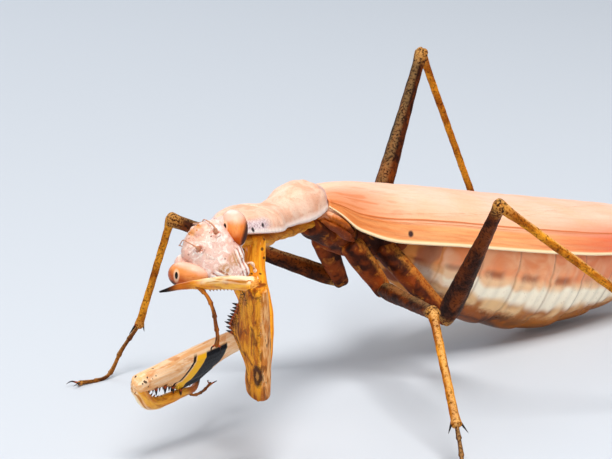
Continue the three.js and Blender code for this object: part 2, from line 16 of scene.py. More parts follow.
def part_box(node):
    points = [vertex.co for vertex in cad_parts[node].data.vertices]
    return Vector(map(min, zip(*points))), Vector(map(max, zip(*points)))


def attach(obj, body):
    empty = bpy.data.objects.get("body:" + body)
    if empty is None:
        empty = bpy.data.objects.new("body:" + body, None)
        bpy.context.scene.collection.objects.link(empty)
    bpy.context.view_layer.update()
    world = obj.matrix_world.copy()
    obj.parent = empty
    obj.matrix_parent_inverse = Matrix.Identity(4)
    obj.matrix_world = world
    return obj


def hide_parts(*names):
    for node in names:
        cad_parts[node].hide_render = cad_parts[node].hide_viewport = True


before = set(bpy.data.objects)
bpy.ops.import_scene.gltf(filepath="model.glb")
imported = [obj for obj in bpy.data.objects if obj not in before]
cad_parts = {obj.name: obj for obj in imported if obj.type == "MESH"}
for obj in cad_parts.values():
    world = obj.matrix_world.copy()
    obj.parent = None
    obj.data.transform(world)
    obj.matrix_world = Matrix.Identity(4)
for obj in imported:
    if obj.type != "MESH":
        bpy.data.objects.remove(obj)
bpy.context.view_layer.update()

# ---- driving dimensions ---------------------------------------------------------------------
# They are the solids' own, except the wings' roof and the courses of the fore tarsi.

THORAX_HEIGHT = 13.9
BODY_PITCH, BODY_ROLL = 12.3, 0.9
PROTHORAX_HINGE = (-5.0, 0.0, 0.6)
PROTHORAX_YAW, PROTHORAX_PITCH = 28.6, -1.6
PROTHORAX_LENGTH = 21.0
HEAD_PLACE = (-PROTHORAX_LENGTH - 2.95, 0.1, -1.55)
HEAD_YAW, HEAD_PITCH, HEAD_ROLL = 34.0, -12.6, 49.0
VERTEX, CLYPEUS = 1.95, -2.6
EYE_CENTRE = (2.59, -0.36, -0.25)
EYE_HALF = (0.97, 1.52, 1.1)
EYE_TILT, EYE_LEAN, EYE_EGG = 38.7, 32.0, 0.17

# Stations of the folded wings' roof: [x, half-width, ridge height, costal edge height]. It starts
# further forward than the solids' roof, and its ridge is a little lower.
ROOF = [
    [-4.3, 2.15, 2.75, 1.45], [-3.2, 2.55, 3.15, 0.9], [-1, 3.1, 3.5, -0.3], [3, 4.0, 3.65, -0.95],
    [10, 4.85, 3.75, -0.8], [18, 5.5, 3.7, -0.75], [26, 5.7, 3.75, -0.6], [34, 5.2, 3.75, 0.0],
    [40, 4.1, 3.3, 0.8], [43.2, 2.9, 2.85, 1.4], [44.7, 1.9, 2.6, 1.7], [45.3, 1.0, 2.45, 1.9],
]

# Walking legs, on the ground's frame: trochanter, knee, ankle and the point where the claws stand.
WALKING = {
    "mid_l": [(1.2, -3.4, 8.4), (-6.3, -16.2, 9.8), (-11.8, -23.8, 3.2), (-15.6, -28.8, 0)],
    "mid_r": [(2.0, 2.6, 8.2), (-10.3, 10.5, 14.4), (-9.6, 15.8, 4.2), (-16.5, 16.0, 0)],
    "hind_l": [(5.5, -6.6, 5.7), (-1.8, -19.4, 18.3), (12.4, -28.3, 5.2), (19.6, -31.4, 0)],
    "hind_r": [(8.2, 6.0, 8.4), (19.8, 9.6, 25.2), (31.4, 12.6, 6.6), (37.2, 15.2, 0)],
}
HIPS = {"mid": (-0.4, 1.8, -1.8), "hind": (3.2, 2.0, -1.7)}
# Half the thickness of a walking femur where it is thickest.
THICK = {"mid": 0.72, "hind": 0.92}

# Raptorial legs, on the ground's frame: trochanter, knee, end of the tibia and tip of its claw; the
# points that a bent coxa passes; how far the tibia bows out; the tarsus and how thick it is; and how
# far the femur's round end reaches past the knee.
RAPTORIAL = {
    "fore_l": {
        "joints": [(-23.0, -13.5, 6.2), (-30.5, -21.5, 17.0), (-29.7, -15.0, 16.1), (-30.8, -11.2, 15.1)],
        "coxa_bends": [(-19.7, -9.8, 14.4), (-20.8, -11.7, 11.2)],
        "bow": 0.12,
        "tarsus": [(-30.1, -15.6, 15.4), (-30.3, -16.5, 14.5), (-30.8, -17.3, 13.6), (-31.2, -17.9, 12.8),
                   (-31.5, -18.1, 12.2)],
        "slim": 0.17,
        "knee_dome": 0.5,
    },
    "fore_r": {
        "joints": [(-13.1, -3.5, 7.7), (-28.4, -5.7, 6.5), (-22.4, -3.8, 4.2), (-19.2, -2.6, 5.0)],
        "coxa_bends": [],
        "bow": 1.1,
        "tarsus": [(-20.9, -3.4, 3.7), (-18.8, -2.3, 3.3), (-17.0, -1.4, 3.5)],
        "slim": 0.13,
        "knee_dome": 1.0,
    },
}
COXA_STATION = 17.2

# ---- frames ---------------------------------------------------------------------------------

Z_UP = np.array((0.0, 0.0, 1.0))


def turn(axis, degrees):
    return np.array(Matrix.Rotation(math.radians(degrees), 4, axis))


def shift(place):
    return np.array(Matrix.Translation(Vector(place)))


def moved(matrix, points):
    return np.asarray(points, float) @ matrix[:3, :3].T + matrix[:3, 3]


def unit(vectors):
    """The same ways, each with a length of 1."""
    return vectors / np.linalg.norm(vectors, axis=-1, keepdims=True)


def spread(*grids):
    """Three grids of numbers, stretched over each other, as one grid of points."""
    return np.stack(np.broadcast_arrays(*grids), -1)


BODY = shift((0, 0, THORAX_HEIGHT)) @ turn("Y", BODY_PITCH) @ turn("X", BODY_ROLL)
PROTHORAX = BODY @ shift(PROTHORAX_HINGE) @ turn("Z", PROTHORAX_YAW) @ turn("Y", PROTHORAX_PITCH)
FACE = np.array([[0, 0, -1, 0], [-1, 0, 0, 0], [0, 1, 0, 0], [0, 0, 0, 1]], float)
HEAD = PROTHORAX @ shift(HEAD_PLACE) @ FACE
HEAD = HEAD @ turn("Y", HEAD_YAW) @ turn("X", HEAD_PITCH) @ turn("Z", HEAD_ROLL)


def eye_frame(side):
    """The left (1) or the right (-1) eye's own frame, with y up its long axis."""
    place = shift((side * EYE_CENTRE[0], EYE_CENTRE[1], EYE_CENTRE[2]))
    return place @ turn("Z", -side * EYE_TILT) @ turn("X", -EYE_LEAN)


def ring_angles(sides):
    return 2 * math.pi * np.arange(sides) / sides


def unit_sphere(rings, sides):
    """Points of a unit sphere with its poles on the y axis, row by row."""
    polar = np.linspace(0, math.pi, rings + 1)[:, None]
    angle = ring_angles(sides)[None, :]
    sphere = spread(np.sin(polar) * np.cos(angle), np.cos(polar), np.sin(polar) * np.sin(angle))
    return sphere.reshape(-1, 3)


def egg(sphere):
    """An eye's surface in its own frame: an egg with its narrow end down."""
    swell = EYE_EGG * sphere[:, 1:2]
    return sphere * np.hstack([1 + swell, 1 + 0 * swell, 1 + swell / 2]) * np.array(EYE_HALF)


# The solids were shifted level with the floor so that the origin is under their middle. The left
# eye's box, against the same eye worked out here with as few facets, says by how much.
CAD_EYE_RINGS, CAD_EYE_SIDES = 8, 12
eye_low, eye_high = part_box("eye_l")
facets = moved(HEAD @ eye_frame(1), egg(unit_sphere(CAD_EYE_RINGS, CAD_EYE_SIDES)))
LEVEL_SHIFT = (np.array(eye_low) + np.array(eye_high)) * 500 - (facets.min(0) + facets.max(0)) / 2


def to_metres(points):
    return (np.asarray(points) + LEVEL_SHIFT) / 1000


# ---- curves and lofts -----------------------------------------------------------------------


def smoothstep(x, low, high):
    t = np.clip((np.asarray(x, float) - low) / (high - low), 0, 1)
    return t * t * (3 - 2 * t)


def bell(x, centre, width):
    """A bump of height 1 at centre that has gone at width to either side."""
    return 1 - smoothstep(np.abs(np.asarray(x) - centre), 0, width)


def eased(stations):
    """A smooth function through rows [t, a, b, ...] that never overshoots them."""
    rows = np.array(stations, float)
    xs, ys = rows[:, 0], rows[:, 1:]
    steps = np.diff(xs)[:, None]
    slopes = np.diff(ys, axis=0) / steps
    before, after = slopes[:-1], slopes[1:]
    same = before * after > 0
    inner = np.where(same, 2 * before * after / np.where(same, before + after, 1), 0)
    tangents = np.vstack([slopes[:1], inner, slopes[-1:]])

    def at(t):
        t = np.clip(np.asarray(t, float), xs[0], xs[-1])
        i = np.clip(np.searchsorted(xs, t) - 1, 0, len(xs) - 2)
        step = steps[i]
        u = ((t - xs[i]) / step[..., 0])[..., None]
        start = (1 + 2 * u) * (1 - u) ** 2 * ys[i] + u * (1 - u) ** 2 * step * tangents[i]
        end = u**2 * (3 - 2 * u) * ys[i + 1] + u**2 * (u - 1) * step * tangents[i + 1]
        return start + end

    return at


def smooth_path(points, samples=60):
    """The centripetal Catmull-Rom curve through points.

    Returns a function of the share of its length, which gives place and heading, and its length."""
    points = np.array(points, float)
    if len(points) == 2:
        dense = np.linspace(points[0], points[1], samples)
    else:
        padded = np.vstack([2 * points[0] - points[1], points, 2 * points[-1] - points[-2]])
        runs = []
        for a, b, c, d in zip(padded, padded[1:], padded[2:], padded[3:]):
            gaps = [math.sqrt(np.linalg.norm(q - p)) for p, q in ((a, b), (b, c), (c, d))]
            out = (b - a) / gaps[0] - (c - a) / (gaps[0] + gaps[1]) + (c - b) / gaps[1]
            back = (c - b) / gaps[1] - (d - b) / (gaps[1] + gaps[2]) + (d - c) / gaps[2]
            m, n = out * gaps[1], back * gaps[1]
            u = np.linspace(0, 1, samples, endpoint=False)[:, None]
            runs.append(b + m * u + (3 * (c - b) - 2 * m - n) * u**2 + (2 * (b - c) + m + n) * u**3)
        dense = np.vstack([*runs, points[-1:]])
    lengths = np.concatenate([[0], np.cumsum(np.linalg.norm(np.diff(dense, axis=0), axis=1))])
    share = lengths / lengths[-1]
    heading = np.gradient(dense, lengths, axis=0)

    def at(t):
        rows = [[np.interp(t, share, values[:, k]) for k in range(3)] for values in (dense, heading)]
        centre, tangent = (np.stack(row, -1) for row in rows)
        return centre, unit(tangent)

    return at, lengths[-1]


class Shape:
    """Points and faces, with what the materials read: loft, own place and mark, one row a point."""

    def __init__(self, points, faces, loft, own, mark=(0, 0, 0)):
        self.points = np.asarray(points, float)
        self.faces = faces
        self.loft = np.broadcast_to(np.asarray(loft, float), self.points.shape)
        self.own = np.asarray(own, float)
        self.mark = np.broadcast_to(np.asarray(mark, float), self.points.shape)


def grid_faces(rows, columns):
    """Quads over a tube's points, which are stored ring by ring."""
    r, c = np.arange(rows - 1)[:, None], np.arange(columns)[None, :]
    after = (c + 1) % columns
    quads = [r * columns + c, r * columns + after, (r + 1) * columns + after, (r + 1) * columns + c]
    return spread(*quads).reshape(-1, 4)


def fan(start, sides, tip):
    """Triangles from the ring of points that begins at start to the point at its tip."""
    ring = np.arange(sides)
    return spread(start + ring, start + (ring + 1) % sides, tip)


def surface_normals(grid):
    """Unit normals of a tube's points, which look away from the middle of each ring."""
    padded = np.concatenate([grid[:, -1:], grid, grid[:, :1]], 1)
    normals = np.cross(np.gradient(padded, axis=1)[:, 1:-1], np.gradient(grid, axis=0))
    normals /= np.maximum(np.linalg.norm(normals, axis=-1, keepdims=True), 1e-9)
    outward = grid - grid.mean(1, keepdims=True)
    flip = np.sign((normals * outward).sum((1, 2)))[:, None, None]
    return normals * np.where(flip == 0, 1, flip)


# A limb's rounded end has this many rings, from this latitude down to the limb.
CAP_RINGS, CAP_LATITUDE = 6, 86


def loft(path, stations, rings, sides, facing=Z_UP, dome=0.7, relief=None, boxy=1.0):
    """A closed limb along a path.

    A station is [t, half-width, height over, height under], or [t, radius], and over is toward facing.
    Dome says how far the ends reach on, in half-widths, and boxy squares the section.
    relief(t, angle, millimetres along) raises the surface."""
    at, length = smooth_path(path)
    size = eased([row if len(row) > 2 else [*row, row[1], row[1]] for row in stations])
    first, last = stations[0][0], stations[-1][0]
    latitude = np.linspace(math.radians(CAP_LATITUDE), 0, CAP_RINGS, endpoint=False)
    cap = np.ones(CAP_RINGS)
    t = np.concatenate([first * cap, np.linspace(first, last, rings), last * cap])
    scale = np.concatenate([np.cos(latitude), np.ones(rings), np.cos(latitude)[::-1]])
    half = size(t)
    beyond = np.concatenate([-np.sin(latitude), np.zeros(rings), np.sin(latitude)[::-1]])
    beyond = beyond * (dome * half[:, 0])
    centre, tangent = at(t)
    side = unit(np.cross(tangent, facing))
    over = np.cross(side, tangent)
    angle = ring_angles(sides)
    cos, sin = np.cos(angle), np.sin(angle)
    wide = np.sign(cos) * np.abs(cos) ** boxy * half[:, :1] * scale[:, None]
    tall = np.sign(sin) * np.abs(sin) ** boxy * np.where(sin > 0, half[:, 1:2], half[:, 2:3])
    tall = tall * scale[:, None]
    grid = (centre + tangent * beyond[:, None])[:, None, :]
    grid = grid + side[:, None, :] * wide[..., None] + over[:, None, :] * tall[..., None]
    along = (t * length + beyond)[:, None]
    if relief is not None:
        raised = relief(t[:, None], angle[None, :], along) * smoothstep(scale, 0.0, 0.6)[:, None]
        grid = grid + surface_normals(grid) * raised[..., None]
    rows = len(t)
    points = np.vstack([grid.reshape(-1, 3), grid[0].mean(0), grid[-1].mean(0)])
    faces = [grid_faces(rows, sides), fan(0, sides, rows * sides)]
    faces.append(fan((rows - 1) * sides, sides, rows * sides + 1))
    places = np.vstack([spread(t[:, None], cos, sin).reshape(-1, 3), [first, 0, 0], [last, 0, 0]])
    own = np.vstack([spread(along, wide, tall).reshape(-1, 3), [along[0, 0], 0, 0], [along[-1, 0], 0, 0]])
    return Shape(points, faces, places, own)


HORN_RINGS, HORN_SIDES, HORN_TIP = 7, 8, 0.006
# A way that no horn points in, to measure the turn of its rings from.
ASKEW = (0.31, 0.52, 0.8)


def spine(root, tip, radius, bend=(0, 0, 0)):
    """A slim horn from root to tip. Its mark runs from 0 at the root to 1 at the tip."""
    at, _ = smooth_path([root, (root + tip) / 2 + bend, tip])
    t = np.linspace(0, 1, HORN_RINGS)
    centre, tangent = at(t)
    side = unit(np.cross(tangent, ASKEW))
    over = np.cross(side, tangent)
    thick = (radius * (1 - t) ** 0.8 + HORN_TIP)[:, None, None]
    angle = ring_angles(HORN_SIDES)[None, :, None]
    grid = centre[:, None] + thick * (side[:, None] * np.cos(angle) + over[:, None] * np.sin(angle))
    points = np.vstack([grid.reshape(-1, 3), tip])
    end = HORN_RINGS * HORN_SIDES
    faces = [grid_faces(HORN_RINGS, HORN_SIDES), fan(end - HORN_SIDES, HORN_SIDES, end)]
    mark = spread(np.append(np.repeat(t, HORN_SIDES), 1), 1, 0)
    return Shape(points, faces, (0, 0, 0), points - root, mark)


def ball(centre, half, rings=24, sides=32):
    """An ellipsoid with its poles above and below."""
    sphere = unit_sphere(rings - 1, sides)[:, [0, 2, 1]]
    local = sphere * np.array(half)
    return Shape(local + np.array(centre), [grid_faces(rings, sides)], sphere, local)


def ringed(height, waves):
    """Relief of rings round a limb, so many radians to the millimetre."""
    return lambda t, angle, along: height * np.sin(along * waves)


def ridged(height):
    """Relief for a leg: four low ridges along it and fine lumps."""

    def relief(t, angle, along):
        ridges = height * np.abs(np.cos(2 * angle)) ** 3
        lumps = 0.02 * np.sin(along * 2.7 + 3 * angle) * np.sin(along * 1.3 - 2 * angle)
        return ridges + lumps

    return relief


# ---- pieces ---------------------------------------------------------------------------------


class Piece:
    """One visible piece, gathered from shapes that each wear a material."""

    def __init__(self, name, replaced, slot):
        self.name, self.replaced, self.slot = name, replaced, slot
        self.shapes = []

    def add(self, shape, material, matrix=None):
        if matrix is not None:
            shape.points = moved(matrix, shape.points)
        self.shapes.append((shape, material))
        return self

    def embed(self, shape, material, matrix):
        """Adds a shape whose material reads the frame it was made in, so that marks fit the anatomy."""
        shape.own = shape.points.copy()
        return self.add(shape, material, matrix)

    def stand(self):
        """Flattens whatever would dip below the floor."""
        for shape, _ in self.shapes:
            shape.points[:, 2] = np.maximum(shape.points[:, 2], -LEVEL_SHIFT[2])

    def gathered(self, title):
        return np.vstack([getattr(shape, title) for shape, _ in self.shapes])

    def build(self):
        worn, faces, wears, start = [], [], [], 0
        for shape, material in self.shapes:
            if material not in worn:
                worn.append(material)
            for block in shape.faces:
                faces.extend((block + start).tolist())
                wears.extend([worn.index(material)] * len(block))
            start += len(shape.points)
        mesh = bpy.data.meshes.new(self.name)
        mesh.from_pydata(to_metres(self.gathered("points")).tolist(), [], faces)
        for title in ("loft", "own", "mark"):
            layer = mesh.attributes.new(title, "FLOAT_VECTOR", "POINT")
            layer.data.foreach_set("vector", self.gathered(title).astype(np.float32).ravel())
        for material in worn:
            mesh.materials.append(material)
        mesh.polygons.foreach_set("material_index", wears)
        mesh.polygons.foreach_set("use_smooth", [True] * len(mesh.polygons))
        settle_normals(mesh)
        made = bpy.data.objects.new(self.name, mesh)
        bpy.context.scene.collection.objects.link(made)
        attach(made, "root")
        if self.replaced:
            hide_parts(*self.replaced)


def settle_normals(mesh):
    """Turns every closed shell of the mesh to face outward."""
    mesh.update()
    work = bmesh.new()
    work.from_mesh(mesh)
    bmesh.ops.recalc_face_normals(work, faces=work.faces)
    work.to_mesh(mesh)
    work.free()


# ---- how materials are written --------------------------------------------------------------

# How much deeper the paints are than they look: pale light and a pale floor wash them out.
DEPTH = 1.14


def linear(colour):
    """A colour given as 0 to 255 on a screen, as light, by the sRGB rule."""
    share = np.array(colour, float) / 255
    light = np.where(share <= 0.04045, share / 12.92, ((share + 0.055) / 1.055) ** 2.4)
    return (*(light**DEPTH).tolist(), 1.0)


class Field:
    """A value that varies over a surface. Arithmetic on fields builds the nodes that work it out."""

    def __init__(self, shader, socket):
        self.shader, self.socket = shader, socket

    def through(self, kind, values, **settings):
        """The output of a new node whose first inputs are this field and the values."""
        node = self.shader.node(kind, **settings)
        for place, value in enumerate((self, *values)):
            self.shader.feed(node.inputs[place], value)
        return Field(self.shader, node.outputs[0])

    def maths(self, operation, *others):
        return self.through("ShaderNodeMath", others, operation=operation)

    def __add__(self, other):
        return self.maths("ADD", other)

    def __sub__(self, other):
        return self.maths("SUBTRACT", other)

    def __mul__(self, other):
        return self.maths("MULTIPLY", other)

    def __truediv__(self, other):
        return self.maths("DIVIDE", other)

    def size(self):
        return self.maths("ABSOLUTE")

    def sine(self):
        return self.maths("SINE")

    def most(self, other):
        return self.maths("MAXIMUM", other)

    def rise(self, low, high, to_low=0.0, to_high=1.0):
        """A soft step from to_low to to_high as the field goes from low to high."""
        limits = (low, high, to_low, to_high)
        return self.through("ShaderNodeMapRange", limits, interpolation_type="SMOOTHSTEP")

    def near(self, centre, width):
        """1 where the field is at centre, 0 from width away."""
        return (self - centre).size().rise(0.0, width, 1.0, 0.0)


class Shader:
    """One procedural material: fields over the surface, ending in a Principled node.

    On a limb, t runs from 0 to 1 along it, and side and up are the cosine and sine of the angle round
    it; on a wing, t is the body frame's x and side is how far across the roof. x, y and z are the
    place in millimetres: in the frame that the shape was embedded in, from an eye's middle, or else
    along the limb, across it and up. Colour is what is painted so far."""

    def __init__(self, name):
        self.material = bpy.data.materials.new(name)
        self.material.use_nodes = True
        self.tree = self.material.node_tree
        self.surface = self.tree.nodes["Principled BSDF"]
        self.loft, self.own, self.mark = (self.attribute(title) for title in ("loft", "own", "mark"))
        self.t, self.side, self.up = self.parts(self.loft)
        self.x, self.y, self.z = self.parts(self.own)
        self.colour = None

    def node(self, kind, **settings):
        made = self.tree.nodes.new(kind)
        for key, value in settings.items():
            setattr(made, key, value)
        return made

    def feed(self, socket, value):
        if isinstance(value, Field):
            self.tree.links.new(value.socket, socket)
        elif isinstance(value, tuple) and socket.type == "RGBA":
            socket.default_value = linear(value)
        else:
            socket.default_value = value

    def fed(self, kind, output, inputs, **settings):
        """The named output of a new node, after its named inputs are fed."""
        node = self.node(kind, **settings)
        for title, value in inputs.items():
            self.feed(node.inputs[title], value)
        return Field(self, node.outputs[output])

    def attribute(self, title):
        return self.fed("ShaderNodeAttribute", "Vector", {}, attribute_name=title)

    def parts(self, vector):
        node = self.node("ShaderNodeSeparateXYZ")
        self.feed(node.inputs[0], vector)
        return [Field(self, output) for output in node.outputs]

    def join(self, x, y, z=0.0):
        return self.fed("ShaderNodeCombineXYZ", 0, {"X": x, "Y": y, "Z": z})

    def stretch(self, vector, *scale):
        return self.fed("ShaderNodeMapping", 0, {"Vector": vector, "Scale": scale})

    def noise(self, vector, scale, detail=3.0, roughness=0.55, distortion=0.0):
        inputs = {"Vector": vector, "Scale": scale, "Detail": detail}
        inputs.update(Roughness=roughness, Distortion=distortion)
        return self.fed("ShaderNodeTexNoise", "Fac", inputs)

    def cells(self, vector, scale, feature="F1", randomness=1.0):
        inputs = {"Vector": vector, "Scale": scale, "Randomness": randomness}
        return self.fed("ShaderNodeTexVoronoi", "Distance", inputs, feature=feature)

    def far_from(self, vector, place):
        return self.fed("ShaderNodeVectorMath", "Value", {0: vector, 1: place}, operation="DISTANCE")

    def mix(self, share, first, second):
        """The first colour where share is 0, the second where it is 1."""
        colours = {6: first, 7: second}
        return self.fed("ShaderNodeMix", 2, {"Factor": share, **colours}, data_type="RGBA")

    def paint(self, share, colour):
        """Lays colour over what is painted so far, as thickly as share says."""
        self.colour = self.mix(share, self.colour, colour)

    def toward(self, way, place=(0.0, 0.0, 0.0)):
        """How far the surface lies from a place, in millimetres along a way."""
        x, y, z = (part - start for part, start in zip((self.x, self.y, self.z), place))
        return x * way[0] + y * way[1] + z * way[2]

    def spots(self, vector, places, radius, soft=0.4):
        """A mask of round spots about places."""
        total = None
        for place in places:
            spot = self.far_from(vector, place).rise(radius * (1 - soft), radius * (1 + soft), 1.0, 0.0)
            total = spot if total is None else total.most(spot)
        return total

    def finish(self, roughness, relief=None, height=0.00005, strength=1.0, **constants):
        """Ends the material. Height is the relief's, in metres, and constants are Principled inputs."""
        self.feed(self.surface.inputs["Base Color"], self.colour)
        self.feed(self.surface.inputs["Roughness"], roughness)
        for title, value in constants.items():
            self.surface.inputs[title.replace("_", " ")].default_value = value
        if relief is not None:
            inputs = {"Height": relief, "Distance": height, "Strength": strength}
            self.feed(self.surface.inputs["Normal"], self.fed("ShaderNodeBump", "Normal", inputs))
        return self.material


# ---- materials ------------------------------------------------------------------------------

# The antennal sockets, on the face.
SOCKETS = ((0.93, 0.62), (-0.93, 0.62))
# How tightly the cheeks are folded, in radians to the millimetre.
FOLD_PITCH = 17.0
# How many rings the abdomen has.
SEGMENTS = 8
# Where the left fore femur's brush is: along it from the trochanter, and toward its spined edge.
BRUSH_PLACE = (3.85, -0.42)

# The false pupils' places from each eye's middle, and the ways across and up their ovals (head frame).
PUPILS = {1: (-0.63, 0.7, 0.46), -1: (-0.84, 0.68, 0.48)}
PUPIL_ACROSS = (0.68, -0.67, 0.29)
PUPIL_UP = (0.68, 0.73, 0.08)
PUPIL_HALF = (0.12, 0.27)
# The ways toward each eye's upper side, painted pale as a highlight and sky reflection, and toward its
# outer rim, painted dark as shade.
EYE_HIGHLIGHT_WAYS = {1: (0.46, 0.58, 0.21), -1: (0.75, 0.42, 0.3)}
EYE_RIM_SHADE_WAYS = {1: (0.48, -0.78, 0.4), -1: (-0.8, -0.35, -0.3)}


def pale_cuticle():
    """The head's and neck's pinkish-white skin: softly marbled, finely lined, with a few dark specks."""
    s = Shader("pale_cuticle")
    cloud = s.noise(s.own, 0.75, 2.0, 0.5, 0.4)
    marble = s.noise(s.own, 1.7, 4.0, 0.6, 1.2)
    fine = s.noise(s.own, 9.0, 3.0, 0.6)
    s.colour = s.mix(marble.rise(0.3, 0.66), (255, 240, 231), (238, 196, 182))
    s.paint(cloud.rise(0.44, 0.66) * 0.6, (226, 170, 148))
    # The vertex is pinker than the face.
    s.paint(s.y.rise(0.6, 1.9) * 0.42, (230, 176, 150))
    lines = (marble - 0.5).size().rise(0.022, 0.0)
    s.paint(lines * 0.5, (188, 104, 78))
    s.paint(fine.rise(0.58, 0.7) * 0.3, (214, 156, 134))
    # A tan patch over the clypeus, and the reddish rims of the antennal sockets.
    tan = s.far_from(s.join(s.x.size(), s.y), (0.6, -1.95, 0.0)).rise(0.8, 0.25)
    s.paint(tan * marble.rise(0.32, 0.56) * 0.85, (202, 146, 80))
    sockets = s.spots(s.own, [(*place, 1.15) for place in SOCKETS], 0.34, 0.5)
    s.paint(sockets * marble.rise(0.35, 0.6) * 0.85, (200, 100, 62))
    # Amber round the two upper ocelli.
    s.paint(s.spots(s.own, [(0.3, 1.82, 0.5), (-0.3, 1.82, 0.5)], 0.3, 0.5) * 0.8, (222, 146, 66))
    # The cheeks are folded in stripes of white and dark red.
    over = s.x.size() * 0.94 - s.y * 0.33 + (marble - 0.5) * 0.3
    stripes = (over * FOLD_PITCH).sine()
    cheek = over.rise(1.15, 1.4) * s.y.rise(-1.25, -1.7)
    lined = cheek * s.noise(s.own, 1.6).rise(0.36, 0.5)
    s.paint(lined * stripes.rise(-0.5, -0.95) * 0.85, (160, 74, 50))
    s.paint(cheek * stripes.rise(-0.3, 0.4) * 0.9, (252, 246, 240))
    specks = s.cells(s.own, 2.0).rise(0.19, 0.11) * s.noise(s.own, 0.8).rise(0.5, 0.58)
    s.paint(specks * 0.85, (120, 52, 34))
    relief = marble * 0.5 + fine * 0.35 + lines * -0.15
    return s.finish(marble.rise(0.2, 0.8, 0.32, 0.46), relief, 0.00005, Subsurface_Weight=0.1)


def eye_glass(side):
    """A compound eye: orange and finely faceted, painted pinkish white above as a highlight and sky
    reflection, and dark brown below, behind and at its outer rim as painted shade.

    The false pupil is an upright oval. Where it shows depends on the eye."""
    s = Shader("eye_glass_l" if side > 0 else "eye_glass_r")
    cloud = s.noise(s.own, 1.3, 3.0)
    streak = s.noise(s.stretch(s.loft, 3.0, 0.8, 3.0), 2.2, 4.0)
    # Painted light: paler toward the eye's top as a highlight and sky reflection, and dark brown toward
    # its bottom as shade.
    height = s.toward(EYE_HIGHLIGHT_WAYS[side]) + (cloud - 0.5) * 0.5
    s.colour = s.mix(height.rise(-0.5, 0.12), (190, 86, 4), (230, 150, 84))
    s.paint(streak.rise(0.48, 0.7) * 0.4, (204, 108, 36))
    s.paint(height.rise(0.2, 0.8), (240, 196, 176))
    s.paint(height.rise(0.85, 1.1) * 0.6, (254, 238, 232))
    s.paint(height.rise(-0.5, -1.0), (84, 30, 4))
    # Painted shade: the outer rim and the back of the eye are painted dark.
    outer = s.toward(EYE_RIM_SHADE_WAYS[side]) + (cloud - 0.5) * 0.3
    s.paint(outer.rise(0.3, 0.85) * 0.6, (206, 104, 12))
    s.paint(outer.rise(0.7, 0.95) * 0.95, (56, 18, 4))
    s.paint(s.z.rise(-0.3, -0.75) * 0.9, (60, 22, 8))
    across = s.toward(PUPIL_ACROSS, PUPILS[side]) / PUPIL_HALF[0]
    upright = s.toward(PUPIL_UP, PUPILS[side]) / PUPIL_HALF[1]
    oval = across * across + upright * upright
    front = s.z.rise(-0.55, -0.35)
    s.paint(oval.rise(5.0, 1.6) * front * 0.75, (244, 208, 176))
    s.paint(oval.rise(1.25, 0.8) * front, (9, 6, 5))
    facets_seen = s.cells(s.loft, 34.0, "DISTANCE_TO_EDGE", 0.25).rise(0.0, 0.3)
    rough = outer.rise(0.6, 0.95, 0.16, 0.6)
    return s.finish(rough, facets_seen, 0.000005, 0.6, Specular_IOR_Level=0.25)


def shield_cuticle():
    """The pronotum: pale peach and pink, finely speckled, lilac-white with black dots at the front."""
    s = Shader("shield_cuticle")
    cloud = s.noise(s.stretch(s.own, 0.5, 1.0, 1.0), 0.9, 5.0, 0.6, 0.6)
    fine = s.noise(s.own, 7.0, 3.0, 0.7)
    s.colour = s.mix(cloud.rise(0.35, 0.68), (250, 214, 190), (240, 184, 152))
    s.paint(fine.rise(0.55, 0.72) * 0.55, (200, 130, 98))
    front = (s.x + (cloud - 0.5) * 3.0).rise(-16.0, -17.6)
    lilac = s.mix(fine.rise(0.42, 0.6), (240, 226, 228), (190, 158, 168))
    s.paint(front * s.up.rise(0.8, 0.45) * 0.85, lilac)
    s.paint((s.x + (cloud - 0.5) * 2.0).rise(-1.6, -0.2) * 0.55, (206, 182, 184))
    # The margin is pale, and the skin under it tan.
    s.paint(s.up.near(0.02, 0.2) * 0.85, (250, 236, 228))
    s.paint(s.up.rise(-0.15, -0.45) * 0.8, (226, 170, 128))
    specks = s.cells(s.own, 3.4).rise(0.09, 0.16, 0.8, 0.0)
    s.paint(specks * s.noise(s.own, 1.3).rise(0.5, 0.62), (120, 74, 62))
    dots = s.spots(s.own, [(-19.5, side * 1.76, -0.1) for side in (-1, 1)], 0.2)
    dots = dots.most(s.spots(s.own, [(-17.9, side * 2.05, 0.24) for side in (-1, 1)], 0.18))
    s.paint(dots, (30, 18, 20))
    relief = cloud * 0.5 + fine * 0.5 + s.cells(s.own, 5.0).rise(0.0, 0.35) * 0.5
    return s.finish(cloud.rise(0.3, 0.7, 0.4, 0.55), relief, 0.00007)


def dark_thorax():
    """The thorax's sides and the hips: rust-brown sclerites with near-black patches and specks, and a
    painted highlight of pale flecks along the top.
    """
    s = Shader("dark_thorax")
    cloud = s.noise(s.own, 0.45, 3.0, 0.5, 0.5)
    patches = s.noise(s.own, 1.1, 4.0, 0.6, 0.6)
    fine = s.noise(s.own, 5.0, 4.0, 0.7)
    s.colour = s.mix(cloud.rise(0.36, 0.62), (56, 20, 3), (142, 66, 13))
    s.paint(patches.rise(0.54, 0.72) * 0.6, (206, 130, 50))
    s.paint(patches.rise(0.46, 0.3) * 0.7, (34, 10, 2))
    # Painted highlight: paler flecks along the top, where the light falls.
    s.paint(s.up.rise(0.45, 0.95) * fine.rise(0.35, 0.6) * 0.5, (218, 150, 70))
    s.paint(fine.rise(0.6, 0.7) * 0.6, (26, 11, 5))
    relief = patches * 0.7 + fine * 0.4
    return s.finish(fine.rise(0.3, 0.7, 0.5, 0.7), relief, 0.00008, Specular_IOR_Level=0.12)


